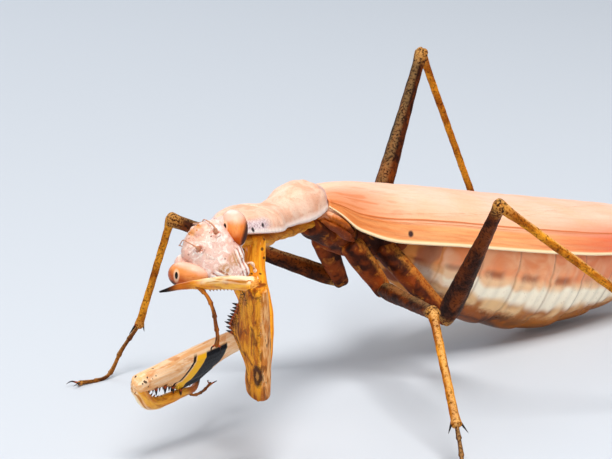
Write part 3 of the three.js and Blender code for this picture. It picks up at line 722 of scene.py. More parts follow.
def belly_cuticle():
    """The abdomen: pink-orange tergite flanks, a row of dark dashes, cream sides with a whiter strip
    painted as a highlight, and brown sternites.
    """
    s = Shader("belly_cuticle")
    cloud = s.noise(s.own, 0.4, 4.0, 0.55, 0.6)
    fine = s.noise(s.own, 3.2, 4.0, 0.65)
    upright = s.noise(s.stretch(s.own, 1.0, 0.7, 0.6), 0.42, 1.0, 0.4, 0.3)
    segment = (s.t * float(SEGMENTS)).maths("FRACT")
    joint = segment.near(0.0, 0.06).most(segment.near(1.0, 0.06))
    s.colour = s.mix(cloud.rise(0.35, 0.65), (252, 190, 146), (244, 156, 104))
    s.paint(s.x.rise(20.0, 36.0) * 0.4, (236, 108, 62))
    # The pleural band: cream with soft brown mottling, and a whiter strip along its middle painted as a
    # highlight.
    level = s.up + (upright - 0.5) * 0.35
    cream = s.mix(level.rise(-0.36, -0.46), (246, 204, 162), (255, 244, 222))
    tan = s.mix(upright.rise(0.4, 0.62), (240, 200, 150), (184, 118, 56))
    cream = s.mix(level.rise(-0.56, -0.7), cream, tan)
    cream = s.mix(fine.rise(0.6, 0.72) * 0.35, cream, (168, 104, 52))
    s.paint((s.up + (cloud - 0.5) * 0.1).rise(-0.22, -0.36), cream)
    # Dark dashes where the tergites end, one to each segment.
    dash = s.up.near(-0.26, 0.1) * segment.rise(0.08, 0.22) * segment.rise(0.75, 0.5)
    s.paint(dash * cloud.rise(0.3, 0.5) * 0.7, (150, 84, 54))
    # The sternites.
    brown = s.mix(cloud.rise(0.4, 0.6), (70, 32, 8), (166, 92, 24))
    brown = s.mix(s.x.rise(16.0, 26.0) * 0.7, brown, (200, 126, 40))
    s.paint((s.up + (fine - 0.5) * 0.14).rise(-0.74, -0.86), brown)
    s.paint(joint * 0.35, (130, 74, 36))
    # The base of the abdomen, behind the hips, is darker, with cream folds.
    base = (s.x + (cloud - 0.5) * 7.0).rise(15.0, 5.0)
    shade = s.mix(upright.rise(0.42, 0.56), (134, 62, 8), (218, 146, 66))
    shade = s.mix(upright.rise(0.6, 0.7) * 0.8, shade, (246, 226, 196))
    s.paint(base * 0.9, shade)
    relief = cloud * 0.4 + upright * 0.3 + fine * 0.15
    rough = cloud.rise(0.3, 0.7, 0.26, 0.42).most(base * 0.6)
    return s.finish(rough, relief, 0.0001, Specular_IOR_Level=0.25)


def wing_leather(side):
    """A tegmen: pale peach, finely streaked, with orange veins and costal field and a cream edge."""
    s = Shader("wing_leather_l" if side < 0 else "wing_leather_r")
    x, across = s.t, s.side
    edge = across.size()
    cloud = s.noise(s.stretch(s.own, 0.3, 1.0, 1.0), 0.5, 4.0)
    streak = s.noise(s.join(x * 0.12, across * 16.0), 1.5, 4.0, 0.6, 0.3)
    hair = s.noise(s.join(x * 0.3, across * 60.0), 1.0, 2.0)
    s.colour = s.mix(cloud.rise(0.3, 0.7), (255, 214, 192), (253, 200, 168))
    s.paint(streak.rise(0.5, 0.68) * 0.25, (248, 174, 134))
    s.paint(hair.rise(0.55, 0.7) * 0.12, (232, 150, 94))
    # The slope above the costal field warms toward it, and reddens to the rear.
    s.paint(edge.rise(0.45, 0.8) * 0.6, (250, 180, 130))
    field = s.mix(streak.rise(0.3, 0.7), (252, 186, 120), (240, 150, 80))
    s.paint(edge.rise(0.76, 0.81) * 0.85, field)
    s.paint(x.rise(16.0, 32.0) * edge.rise(0.45, 0.85) * 0.7, (234, 80, 36))
    # Reddish-brown pleats fan out from the root, which is amber.
    pleats = s.noise(s.join(x * 0.22, across * 9.0), 1.3, 1.0).rise(0.53, 0.63) * x.rise(7.0, -1.5)
    s.paint(pleats * edge.rise(0.1, 0.6, 0.12, 0.5), (208, 112, 34))
    s.paint(x.rise(4.5, -2.0) * edge.rise(0.1, 0.5) * 0.65, (216, 122, 40))
    net = s.cells(s.join(x * 1.2, across * 20.0), 1.0, "DISTANCE_TO_EDGE").rise(0.0, 0.12)
    s.paint((net * -1.0 + 1.0) * 0.06, (214, 140, 84))
    veins = s.parts(s.mark)[0]
    s.paint(veins.rise(0.2, 0.75) * 0.85, (212, 114, 34))
    s.paint(edge.rise(0.962, 0.982) * 0.95, (255, 230, 188))
    s.paint(s.spots(s.join(x * 0.25, across * 2.0), [(1.0, -1.8, 0.0)], 0.07), (70, 28, 16))
    relief = net * 0.1 + streak * 0.12 + hair * 0.1 + cloud * 0.2
    return s.finish(cloud.rise(0.3, 0.7, 0.36, 0.48), relief, 0.00007, Sheen_Weight=0.1)


def hindwing_skin():
    s = Shader("hindwing_skin")
    streak = s.noise(s.join(s.t * 0.1, s.side * 14.0), 1.2, 3.0)
    s.colour = s.mix(streak.rise(0.35, 0.65), (232, 168, 120), (196, 116, 74))
    return s.finish(0.5, streak, 0.00006)


def wing_root_skin():
    """Pale folds above, orange-brown hinge plates below."""
    s = Shader("wing_root_skin")
    patch = s.noise(s.own, 1.1, 4.0, 0.6, 0.8)
    fine = s.noise(s.own, 5.0, 3.0)
    level = s.z + (patch - 0.5) * 1.6
    s.colour = s.mix(level.rise(1.5, 0.4), (250, 214, 186), (204, 116, 36))
    s.paint(level.rise(0.7, -0.3), (128, 58, 10))
    s.paint(fine.rise(0.58, 0.7) * 0.45, (190, 110, 56))
    return s.finish(0.5, patch + fine * 0.5, 0.0001, Specular_IOR_Level=0.2)


def foreleg_cuticle(name, light, deep, dark):
    """A raptorial segment: ochre, streaked along its length and mottled with brown."""
    s = Shader(name)
    streak = s.noise(s.stretch(s.own, 0.3, 2.4, 2.4), 1.3, 5.0, 0.6, 0.5)
    patch = s.noise(s.stretch(s.own, 0.5, 1.0, 1.0), 1.1, 5.0, 0.62, 0.9)
    fine = s.noise(s.own, 6.0, 3.0, 0.7)
    s.colour = s.mix(streak.rise(0.36, 0.64), light, deep)
    s.paint(patch.rise(0.55, 0.68) * 0.7, dark)
    s.paint(fine.rise(0.6, 0.72) * 0.45, dark)
    return s, streak * 0.7 + patch * 0.4 + fine * 0.25, fine


def foreleg_plain(name, light, deep, dark):
    s, relief, fine = foreleg_cuticle(name, light, deep, dark)
    return s.finish(fine.rise(0.3, 0.7, 0.4, 0.55), relief, 0.00008, Specular_IOR_Level=0.15)


def femur_marks(s, inner):
    """The dark patch and yellow band on the inner face of a fore femur, where inner is 1, and a dark line
    beside the band painted as the shaded tip of the resting claw.
    """
    low = s.z.rise(-0.85, -0.7) * inner
    slant = s.x - s.z * 0.7
    patch = slant.rise(8.75, 8.6) * (s.x - s.z * 0.51).rise(5.8, 5.95) * low
    s.paint(patch, (10, 15, 26))
    far_side = (s.x - s.z * 0.78).rise(9.9, 9.75)
    s.paint(far_side * slant.rise(8.6, 8.75) * low, (255, 196, 26))
    # Painted shade: a dark line where the claw's tip lies in shade in the femur's groove.
    line = (s.x - s.z * 0.9 - 10.15).size().rise(0.22, 0.12) * s.z.rise(-0.95, -0.7)
    s.paint(line * inner, (50, 24, 8))


def femur_outer():
    """The left fore femur, seen from outside: ochre, black along its spines, pink along its back."""
    s, relief, fine = foreleg_cuticle("femur_outer", (240, 168, 46), (186, 100, 6), (92, 40, 4))
    back = (s.z + (fine - 0.5) * 0.3).rise(-0.62, -0.85)
    lines = s.noise(s.stretch(s.own, 0.25, 3.0, 3.0), 1.6, 3.0)
    s.paint(back * 0.85, s.mix(lines.rise(0.4, 0.6), (252, 200, 140), (214, 132, 56)))
    veins = s.noise(s.stretch(s.own, 0.25, 1.6, 1.6), 1.5, 3.0, 0.5, 0.8).rise(0.53, 0.6)
    s.paint(veins * 0.65, (110, 52, 4))
    armed = s.up.rise(0.55, 0.9) * s.t.rise(0.3, 0.45)
    s.paint(armed * fine.rise(0.46, 0.58) * 0.85, (50, 22, 6))
    knee = s.t.near(0.9, 0.08) * s.z.rise(0.1, 0.6)
    s.paint(knee * fine.rise(0.46, 0.54) * 0.95, (34, 16, 6))
    # The brush near the femur's foot: a dark oval, five times as long as wide, with a pale middle.
    ring = s.far_from(s.join(s.x * 0.2, s.z), (BRUSH_PLACE[0] * 0.2, BRUSH_PLACE[1], 0.0))
    ring = ring + (fine - 0.5) * 0.3
    s.paint(ring.rise(0.42, 0.26) * 0.9, (58, 26, 8))
    s.paint(ring.rise(0.16, 0.08) * 0.8, (206, 146, 74))
    s.paint(s.t.rise(0.12, -0.02) * 0.5, (150, 76, 14))
    femur_marks(s, s.side.rise(-0.1, -0.3))
    return s.finish(fine.rise(0.3, 0.7, 0.5, 0.65), relief, 0.0001, Specular_IOR_Level=0.1)


def femur_inner():
    """The right fore femur, seen from inside: pale tan with the species' marks."""
    s, relief, fine = foreleg_cuticle("femur_inner", (252, 222, 186), (244, 190, 134), (220, 146, 80))
    gold = s.z.rise(-0.2, 0.6) * (s.x - s.z * 0.7).rise(9.8, 10.4)
    s.paint(gold * 0.5, (232, 156, 50))
    femur_marks(s, s.side.rise(-0.3, -0.1))
    s.paint(s.cells(s.own, 2.0).rise(0.26, 0.18) * s.t.rise(0.87, 0.93) * 0.9, (54, 24, 12))
    armed = s.up.rise(0.7, 0.95) * s.t.rise(0.5, 0.6) * fine.rise(0.42, 0.56)
    s.paint(armed * 0.8, (54, 24, 10))
    return s.finish(fine.rise(0.3, 0.7, 0.4, 0.55), relief, 0.00006, Specular_IOR_Level=0.2)


def coxa_outer():
    """The fore hips: ochre-orange, with a white dash and dark specks near the top."""
    s, relief, fine = foreleg_cuticle("coxa_ochre", (250, 180, 50), (222, 130, 20), (158, 74, 8))
    s.paint(s.cells(s.own, 1.2).rise(0.2, 0.12) * s.x.rise(6.0, 4.5) * 0.85, (60, 24, 10))
    dash = s.noise(s.stretch(s.own, 0.5, 2.0, 2.0), 1.2, 2.0).rise(0.6, 0.66) * s.x.rise(5.0, 4.0)
    s.paint(dash * 0.7, (252, 232, 200))
    return s.finish(fine.rise(0.3, 0.7, 0.4, 0.55), relief, 0.00008, Specular_IOR_Level=0.15)


def tibia_claw_skin():
    """A raptorial tibia: yellow-orange with a painted highlight along its back, darkening to a
    black-tipped claw.
    """
    s, relief, _ = foreleg_cuticle("tibia_claw", (252, 190, 70), (230, 144, 26), (180, 92, 16))
    lines = s.noise(s.stretch(s.own, 0.2, 3.0, 3.0), 1.6, 2.0)
    s.paint(lines.rise(0.55, 0.62) * 0.6, (184, 104, 24))
    # Painted highlight: pale streaks along the back, which faces up toward the light.
    back = s.up.rise(-0.45, -0.9) * s.t.rise(0.7, 0.5)
    s.paint(back * lines.rise(0.66, 0.46) * 0.85, (255, 236, 200))
    s.paint(s.t.rise(0.62, 0.8) * 0.8, (176, 88, 18))
    s.paint(s.t.rise(0.82, 0.95), (20, 10, 7))
    return s.finish(0.38, relief, 0.00006, Specular_IOR_Level=0.2)


def walking_cuticle(name, light, deep, dark, blotch, top_highlight):
    """A walking leg's segment: brown, blotched nearly black, paler at its ends, with a painted highlight
    along its top.
    """
    s = Shader(name)
    band = s.noise(s.stretch(s.own, 0.35, 0.8, 0.8), 1.1, 5.0, 0.6, 0.4)
    fine = s.noise(s.own, 5.0, 4.0, 0.7)
    s.colour = s.mix(band.rise(0.4, 0.64), deep, light)
    s.paint(fine.rise(0.5, 0.62) * blotch, dark)
    ends = s.t.rise(0.92, 0.99).most(s.t.rise(0.08, 0.02))
    s.paint(ends * fine.rise(0.56, 0.46) * 0.7, (214, 158, 84))
    # Painted highlight: paler flecks along the top, where the light falls.
    s.paint(s.up.rise(0.6, 0.95) * fine.rise(0.62, 0.45) * top_highlight, (230, 186, 124))
    relief = band * 0.4 + fine * 0.5
    return s.finish(fine.rise(0.3, 0.7, 0.55, 0.75), relief, 0.00007, Specular_IOR_Level=0.1)


def horny(name, low, high, root, tip, **constants):
    """Horns and teeth: one colour at the root, and another from low to high of the way to the tip."""
    s = Shader(name)
    grainy = s.noise(s.own, 6.0, 2.0)
    along = s.parts(s.mark)[0] + (grainy - 0.5) * 0.3
    s.colour = s.mix(along.rise(low, high), root, tip)
    return s.finish(0.35, grainy, 0.00002, **constants)


def palp_cuticle():
    """The palps: cream, ringed and tipped with brown."""
    s = Shader("palp_cuticle")
    mottle = s.noise(s.own, 2.2, 3.0)
    s.colour = s.mix(mottle.rise(0.4, 0.6), (252, 238, 218), (206, 150, 104))
    s.paint(mottle.rise(0.6, 0.66) * 0.8, (96, 42, 16))
    return s.finish(0.4, mottle, 0.00003)


def ocellus():
    s = Shader("ocellus")
    haze = s.noise(s.own, 5.0, 2.0)
    s.colour = s.mix(haze.rise(0.35, 0.65), (222, 150, 62), (164, 92, 40))
    return s.finish(0.12, haze, 0.00001, Coat_Weight=0.6)


def feeler_material():
    """Feelers and cerci: tan, with a brown ring to each of their many joints."""
    s = Shader("feeler_skin")
    rings = (s.x * 18.0).sine().rise(0.0, 0.8)
    mottle = s.noise(s.own, 2.0, 3.0)
    s.colour = s.mix(mottle.rise(0.35, 0.65), (224, 172, 138), (196, 134, 98))
    s.paint(rings * 0.25, (140, 88, 62))
    return s.finish(0.45, rings, 0.00002)


# ---- head -----------------------------------------------------------------------------------

# Each ocellus: its place and its radius.
OCELLI = (((0.0, 1.7, 0.74), 0.12), ((0.46, 1.88, 0.34), 0.14), ((-0.46, 1.88, 0.34), 0.14))
HEAD_STATIONS = [
    [0.0, 1.3, 0.8, 0.7], [0.12, 1.75, 1.0, 1.0], [0.3, 1.95, 1.15, 1.3], [0.48, 1.97, 1.2, 1.5],
    [0.64, 1.98, 1.2, 1.5], [0.76, 2.05, 1.05, 1.4], [0.85, 1.84, 0.82, 1.15], [0.92, 1.36, 0.72, 0.9],
    [0.97, 0.95, 0.5, 0.65], [1.0, 0.5, 0.3, 0.4],
]
head_half = eased([row[:2] for row in HEAD_STATIONS])

# The polished eyes are this much larger than the faceted ones.
EYE_SWELL = 1.035
EYE_RINGS, EYE_SIDES = 96, 96
# A rim of skin round each eye's foot: its size against the eye's, and its shift inward and back.
RIM_SIZE, RIM_INWARD, RIM_BACK = (1.05, 1.05, 0.6), 0.03, 0.22
RIM_RINGS, RIM_SIDES = 48, 64

# The long palps: the left one is held up beside the cheek, the right one folded under the face.
PALPS = {
    1: [(0.75, -3.0, -0.1), (1.25, -2.85, 0.15), (1.52, -3.1, 0.42), (1.28, -3.65, 0.55)],
    -1: [(0.75, -3.0, -0.1), (0.95, -3.2, 0.2), (0.8, -3.3, 0.6), (0.4, -3.45, 0.8)],
}
SHORT_PALP = [(0.35, -3.3, -0.35), (0.5, -3.75, -0.1), (0.35, -4.05, 0.25)]
# A palp swells at four places along its length.
PALP_STATIONS = [[i / 12, 0.11 + 0.035 * math.cos(i * math.pi / 2)] for i in range(13)]

# Each feeler rises from its socket (head frame), lies back (prothorax frame), and tapers.
FEELER_RISE = [(0.93, 0.6, 0.95), (1.05, 0.95, 1.22), (1.14, 1.45, 0.92), (1.14, 1.84, 0.3)]
FEELER_RISE.append((1.2, 1.6, -1.2))
FEELER_BACKS = {
    1: [(-18.5, 3.4, -0.5), (-13, 3.5, -0.5), (-7, 3.5, -0.2)],
    -1: [(-18.5, 4.2, -2.4), (-13, 5.0, -3.2), (-7.5, 5.8, -3.4)],
}
FEELER_STATIONS = [[0, 0.15], [0.018, 0.14], [0.024, 0.07], [0.032, 0.08], [0.038, 0.045], [1, 0.03]]
# How long one ring of a feeler is.
FEELER_JOINT = 0.3


def head_relief(t, angle, along):
    """Sockets, the ocelli's hump, furrows over the vertex, the shield's outline and folded cheeks."""
    y = CLYPEUS + (VERTEX - CLYPEUS) * t
    x = head_half(t)[..., 0] * np.cos(angle)
    raised = np.zeros(x.shape)
    for socket in SOCKETS:
        away = np.hypot(x - socket[0], y - socket[1])
        raised += 0.10 * bell(away, 0.30, 0.16) - 0.08 * (1 - smoothstep(away, 0.08, 0.26))
    raised += 0.18 * bell(np.hypot(x * 0.8, y - 1.75), 0, 0.6)
    for furrow in (-1.2, -0.42, 0.42, 1.2):
        raised -= 0.05 * bell(x, furrow, 0.16) * smoothstep(y, 0.95, 1.4)
    shield = np.abs(x) + 0.75 * np.abs(y + 0.25)
    raised -= 0.04 * bell(shield, 1.12, 0.2) * (1 - smoothstep(y, 0.15, 0.4)) * smoothstep(y, -1.1, -0.5)
    over = 0.94 * np.abs(x) - 0.33 * y
    fold = np.sin(over * FOLD_PITCH)
    raised += 0.035 * fold * smoothstep(over, 1.1, 1.4) * smoothstep(-y, 1.2, 1.6)
    return raised * smoothstep(np.sin(angle), 0.0, 0.3)


def build_head():
    skin = pale_cuticle()
    head = Piece("head_capsule", ["head", "mouthparts"], "cuticle_pale")
    midline = [(0, CLYPEUS, 0), (0, VERTEX, 0)]
    head.embed(loft(midline, HEAD_STATIONS, 170, 144, dome=0.12, relief=head_relief), skin, HEAD)
    for side in (1, -1):
        sphere = unit_sphere(RIM_RINGS, RIM_SIDES)
        rim = egg(sphere) * RIM_SIZE - (side * RIM_INWARD, 0.0, RIM_BACK)
        faces = [grid_faces(RIM_RINGS + 1, RIM_SIDES)]
        head.embed(Shape(moved(eye_frame(side), rim), faces, (0, 0, 0), sphere), skin, HEAD)
        head.embed(ball((side * 2.1, 0.36, -0.7), (0.85, 0.8, 0.76), 40, 48), skin, HEAD)
    for place, radius in OCELLI:
        head.add(ball(place, (radius, radius, radius * 0.8), 14, 20), ocellus_glass, HEAD)
    build_mouth(head, skin)
    head.build()
    for side, name in ((1, "eye_l"), (-1, "eye_r")):
        sphere = unit_sphere(EYE_RINGS, EYE_SIDES)
        points = moved(eye_frame(side), egg(sphere) * EYE_SWELL)
        offset = points - (side * EYE_CENTRE[0], EYE_CENTRE[1], EYE_CENTRE[2])
        globe = Shape(points, [grid_faces(EYE_RINGS + 1, EYE_SIDES)], sphere, offset)
        Piece(f"compound_{name}", [name], "eye").add(globe, eye_glass(side), HEAD).build()


def build_mouth(head, skin):
    """Clypeus, labrum, mandibles and the two pairs of palps."""
    bridge = [(0, -2.15, 0.62), (0, -2.95, 0.5)]
    clypeus = loft(bridge, [[0, 0.95, 0.32, 0.4], [1, 0.72, 0.28, 0.4]], 20, 40, dome=0.15, boxy=0.6)
    head.embed(clypeus, skin, HEAD)
    head.embed(ball((0, -3.12, 0.42), (0.66, 0.5, 0.3), 24, 36), skin, HEAD)
    for side in (1, -1):
        head.embed(ball((side * 0.72, -2.8, 0.12), (0.5, 0.8, 0.62), 28, 36), skin, HEAD)
        for path in (PALPS[side], SHORT_PALP):
            palp = loft([(side * x, y, z) for x, y, z in path], PALP_STATIONS, 36, 14, dome=1.0)
            head.embed(palp, palp_skin, HEAD)


def build_antennae():
    """Each feeler: a small scape in its socket and a hair-thin ringed thread back over the vertex."""
    joints = ringed(0.006, 2 * math.pi / FEELER_JOINT)
    for side, letter in ((1, "l"), (-1, "r")):
        path = [moved(HEAD, (side * x, y, z)) for x, y, z in FEELER_RISE]
        path += [moved(PROTHORAX, place) for place in FEELER_BACKS[side]]
        thread = loft(path, FEELER_STATIONS, 320, 12, (0, 0.2, 1), relief=joints)
        Piece(f"feeler_{letter}", [f"antenna_{letter}"], "feeler").add(thread, feeler_skin).build()


# ---- prothorax ------------------------------------------------------------------------------

SHIELD_PATH = [(0.8, 0, 1.1), (-3, 0, 0.15), (-8, 0, -0.3), (-PROTHORAX_LENGTH, 0, -0.3)]
SHIELD_STATIONS = [
    [0.0, 1.8, 1.5, 0.4], [0.1, 2.15, 2.3, 0.4], [0.22, 2.1, 2.5, 0.4], [0.37, 1.7, 1.95, 0.35],
    [0.5, 1.75, 1.6, 0.3], [0.7, 2.5, 1.7, 0.3], [0.85, 2.15, 1.5, 0.3], [0.96, 1.6, 1.2, 0.3],
]


def shield_relief(t, angle, along):
    """A keel along the middle, the groove over the fore hips, a beaded margin and fine grains."""
    top = np.abs(angle - math.pi / 2)
    keel = 0.13 * bell(top, 0, 0.16) * (1 - smoothstep(t, 0.55, 0.66)) * smoothstep(t, 0.02, 0.1)
    keel = keel + 0.07 * bell(top, 0, 0.1) * smoothstep(t, 0.74, 0.8)
    groove = -0.14 * bell(t, 0.70 + 0.02 * np.cos(2 * top), 0.022) * (np.sin(angle) > 0.25)
    side = np.abs(np.sin(angle))
    margin = 0.1 * bell(side, 0.0, 0.16)
    teeth = 0.05 * bell(side, 0.0, 0.1) * np.sin(along * 9.0) * smoothstep(t, 0.45, 0.6)
    grains = 0.02 * np.sin(along * 3.1 + 5 * angle) * np.sin(2.3 * along - 4 * angle)
    return keel + groove + margin + teeth + grains


def build_prothorax():
    shield = loft(SHIELD_PATH, SHIELD_STATIONS, 220, 112, dome=0.3, relief=shield_relief, boxy=0.85)
    plate = Piece("pronotum_plate", ["pronotum"], "cuticle_pale")
    plate.embed(shield, shield_cuticle(), PROTHORAX).build()


# ---- trunk ----------------------------------------------------------------------------------

THORAX_STATIONS = [
    [0.0, 1.3, 1.0, 1.0], [0.2, 2.0, 1.6, 1.5], [0.5, 2.6, 2.2, 2.2], [0.8, 2.8, 2.4, 2.2],
    [1.0, 2.6, 1.9, 1.9],
]
ABDOMEN_STATIONS = [
    [0.0, 2.3, 2.5, 1.8], [0.12, 3.4, 3.1, 4.0], [0.3, 4.5, 3.3, 6.0], [0.52, 4.9, 3.4, 6.8],
    [0.78, 4.1, 3.0, 5.0], [0.92, 2.6, 2.4, 2.9], [1.0, 1.4, 1.4, 1.4],
]
UNDERSIDE_STATIONS = [
    [0.0, 1.2, 0.6, 0.5], [0.3, 1.25, 0.5, 0.5], [0.5, 1.4, 0.5, 0.45], [0.7, 1.9, 0.6, 0.85],
    [0.82, 1.6, 0.6, 0.65], [0.95, 1.1, 0.5, 0.4],
]
NECK_STATIONS = [[0, 1.15, 0.95, 0.95], [0.5, 0.95, 0.85, 0.85], [1, 1.05, 0.95, 0.95]]
# The right cercus; the left one mirrors it. A ring of it is this long.
CERCUS_PATH = [(39.6, 1.3, -1.0), (42.0, 2.3, -0.9), (44.2, 2.6, -0.6)]
CERCUS_STATIONS = [[0, 0.42, 0.38, 0.38], [0.5, 0.4, 0.34, 0.34], [1, 0.2, 0.2, 0.2]]
CERCUS_JOINT = 0.42


def belly_relief(t, angle, along):
    """Overlapping rings above and below, and upright folds in the soft skin between them."""
    place = t * SEGMENTS
    share = place - np.floor(place)
    step = 0.22 * smoothstep(share, 0.0, 0.9) * (1 - smoothstep(share, 0.93, 1.0)) - 0.1
    height = np.sin(angle)
    plates = np.maximum(smoothstep(height, -0.2, 0.0), smoothstep(-height, 0.74, 0.84))
    folds = 0.05 * np.sin(along * 4.6 + 0.6 * np.sin(6 * angle)) * (1 - plates)
    crease = -0.12 * (bell(height, -0.25, 0.09) + bell(height, -0.8, 0.07))
    return step * (0.35 + 0.65 * plates) + folds + crease


def thorax_relief(t, angle, along):
    """The oblique seams between the thorax's side plates."""
    height = np.sin(angle)
    seams = sum(-0.16 * bell(t + 0.12 * height, start, 0.05) for start in (0.18, 0.42, 0.66, 0.88))
    lumps = 0.12 * np.sin(t * 26 + 1.5 * height) * np.cos(3 * angle)
    return (seams + lumps) * (height < 0.5)


def underside_relief(t, angle, along):
    return 0.05 * np.sin(along * 2.4) * (np.sin(angle) < 0)


def build_trunk():
    """One skin over the underside of the prothorax, the neck, the thorax and the abdomen."""
    trunk = Piece("trunk_skin", ["prosternum", "neck", "pterothorax", "abdomen"], "soft_cuticle")
    middle = [(-4.6, 0, -0.2), (5.2, 0, -0.9)]
    thorax = loft(middle, THORAX_STATIONS, 90, 80, dome=0.4, relief=thorax_relief)
    trunk.embed(thorax, thorax_skin, BODY)
    middle = [(4.6, 0, -1.6), (40.5, 0, -1.4)]
    abdomen = loft(middle, ABDOMEN_STATIONS, 320, 120, dome=0.5, relief=belly_relief)
    trunk.embed(abdomen, belly_cuticle(), BODY)
    middle = [(0.3, 0, -0.7), (-6, 0, -1.2), (-PROTHORAX_LENGTH, 0, -1.2)]
    underside = loft(middle, UNDERSIDE_STATIONS, 90, 56, dome=0.5, relief=underside_relief)
    trunk.embed(underside, foreleg_skin, PROTHORAX)
    nape = [moved(PROTHORAX, (-PROTHORAX_LENGTH + 1.6, 0, -0.55)), moved(HEAD, (0, -0.1, -0.9))]
    trunk.add(loft(nape, NECK_STATIONS, 40, 48, relief=ringed(0.05, 9.0)), pale_cuticle())
    trunk.build()
    joints = ringed(0.045, 2 * math.pi / CERCUS_JOINT)
    for side, name in ((-1, "cercus_l"), (1, "cercus_r")):
        path = [(x, side * y, z) for x, y, z in CERCUS_PATH]
        tail = loft(path, CERCUS_STATIONS, 90, 24, relief=joints)
        Piece(f"ringed_{name}", [name], "feeler").add(tail, feeler_skin, BODY).build()


# ---- wings ----------------------------------------------------------------------------------

roof_at = eased(ROOF)
WING_START, WING_END = ROOF[0][0], ROOF[-1][0]
# How far the right tegmen lies under the left one, how thick a tegmen is, and how high its veins are.
TUCK, SHEET, VEIN = 0.75, 0.13, 0.10
# Each tegmen: its node, its side, and from where to where it runs across the roof.
TEGMINA = {"wing_case_l": ("tegmen_l", -1, -1, 0.34), "wing_case_r": ("tegmen_r", 1, -0.3, 1)}
TEGMEN_ROWS, TEGMEN_COLUMNS = 260, 110
# The folded hindwings: from where to where along and across the roof, and how thick.
HINDWING_X, HINDWING_HALF, HINDWING_SHEET = (3, 43.5), 0.6, 0.3
HINDWING_ROWS, HINDWING_COLUMNS = 120, 60
# The plates that the right wing hinges on. The left ones mirror them.
HINGES = (
    [(-4.5, 1.6, 1.0), (-3.4, 2.2, 0.55), (-1.6, 2.6, -0.4)],
    [(-4.2, 1.5, 0.3), (-3.0, 2.1, -0.2), (-1.2, 2.5, -1.2)],
)
HINGE_STATIONS = [[0, 0.2, 0.14, 0.2], [0.3, 0.6, 0.3, 0.4], [0.7, 0.6, 0.3, 0.4], [1, 0.12, 0.12, 0.12]]


def roof_points(x, across, inset):
    """Points of the wings' roof. Across runs from -1, the left costal edge, over the ridge to +1."""
    half, ridge, edge = np.moveaxis(roof_at(x), -1, 0)
    angle = across * math.pi / 2
    y = (half - inset) * np.sin(angle)
    z = edge + (ridge - inset - edge) * np.cos(angle) ** 0.9
    return spread(x, y, z)


def vein_relief(x, edge):
    """How raised the veins are at x and at edge, the distance out from the ridge, from 0 to 1."""
    length = (x - WING_START) / (WING_END - WING_START)
    radius = 0.80 - 0.07 * smoothstep(length, 0, 0.2) + 0.16 * smoothstep(length, 0.72, 1.0)
    main = bell(edge, radius, 0.022)
    second = 0.7 * bell(edge, radius + 0.045 - 0.03 * length, 0.014) * (1 - smoothstep(length, 0.5, 0.8))
    total = np.maximum(main, second)
    for k, fork in enumerate((0.05, 0.12, 0.2, 0.3)):
        branch = radius - 0.06 - 0.15 * (k + 1) * smoothstep(length, fork, fork + 0.5) * 0.9
        begun = smoothstep(length, fork, fork + 0.03)
        total = np.maximum(total, 0.42 * bell(edge, branch, 0.014) * begun)
    costa = 1.3 * smoothstep(edge, 0.955, 0.99)
    return np.maximum(total, costa)


def folded_sheet(x, across, outer, inner, marks=0):
    """A closed sheet between an outer and an inner grid of points. Only the outer one has marks."""
    rows, columns = outer.shape[:2]

    def both(front, behind):
        return np.concatenate([front, behind[:, ::-1]], 1).reshape(-1, 3)

    places = spread(x, across, 0)
    marks = spread(marks, 0 * places[..., 0], 0)
    points = both(outer, inner)
    total = 2 * columns
    faces = [grid_faces(rows, total)]
    c = np.arange(columns - 1)
    for base in (0, (rows - 1) * total):
        faces.append(np.stack([base + c, base + c + 1, base + total - 2 - c, base + total - 1 - c], -1))
    return Shape(points, faces, both(places, places), points, both(marks, 0 * marks))


def build_tegmen(name):
    """One tegmen: a thin sheet over part of the roof."""
    node, side, start, end = TEGMINA[name]
    x = np.linspace(WING_START, WING_END, TEGMEN_ROWS)[:, None]
    across = np.linspace(start, end, TEGMEN_COLUMNS)[None, :]
    inset = TUCK * (1 - smoothstep(across, 0.4, 0.62)) if side > 0 else 0 * across
    edge = np.clip(across * side, 0, 1)
    raised = vein_relief(x, edge)
    ripple = 0.012 * np.sin(across * 90 + 0.5 * x) + 0.02 * np.sin(x * 1.7 + across * 11)
    outer = roof_points(x, across, inset - VEIN * raised - ripple)
    inner = roof_points(x, across, inset + SHEET - ripple)
    sheet = folded_sheet(x, across, outer, inner, raised * (edge < 0.95))
    Piece(name, [node], "wing").add(sheet, wing_leather(side), BODY).build()


def build_hindwings():
    x = np.linspace(*HINDWING_X, HINDWING_ROWS)[:, None]
    across = np.linspace(-HINDWING_HALF, HINDWING_HALF, HINDWING_COLUMNS)[None, :]
    pleat = 0.1 * np.sin(across * 60) * smoothstep(HINDWING_HALF - np.abs(across), 0, 0.1)
    inset = 2 * TUCK + 0.12 + pleat
    outer, inner = roof_points(x, across, inset), roof_points(x, across, inset + HINDWING_SHEET)
    sheet = folded_sheet(x, across, outer, inner)
    Piece("folded_hindwings", ["hindwings"], "hindwing").add(sheet, hindwing_skin(), BODY).build()


def build_wing_roots():
    """The pale plate between the shield and the wings, and the folded plates each wing hinges on."""
    roots = Piece("wing_roots", [], "wing")
    roots.embed(ball((-2.9, 0, 1.15), (2.4, 2.25, 1.75), 40, 56), root_skin, BODY)
    for side in (-1, 1):
        for hinge in HINGES:
            path = [(x, y * side, z) for x, y, z in hinge]
            roots.embed(loft(path, HINGE_STATIONS, 60, 32, relief=ridged(0.05)), root_skin, BODY)
    roots.build()


# ---- legs -----------------------------------------------------------------------------------

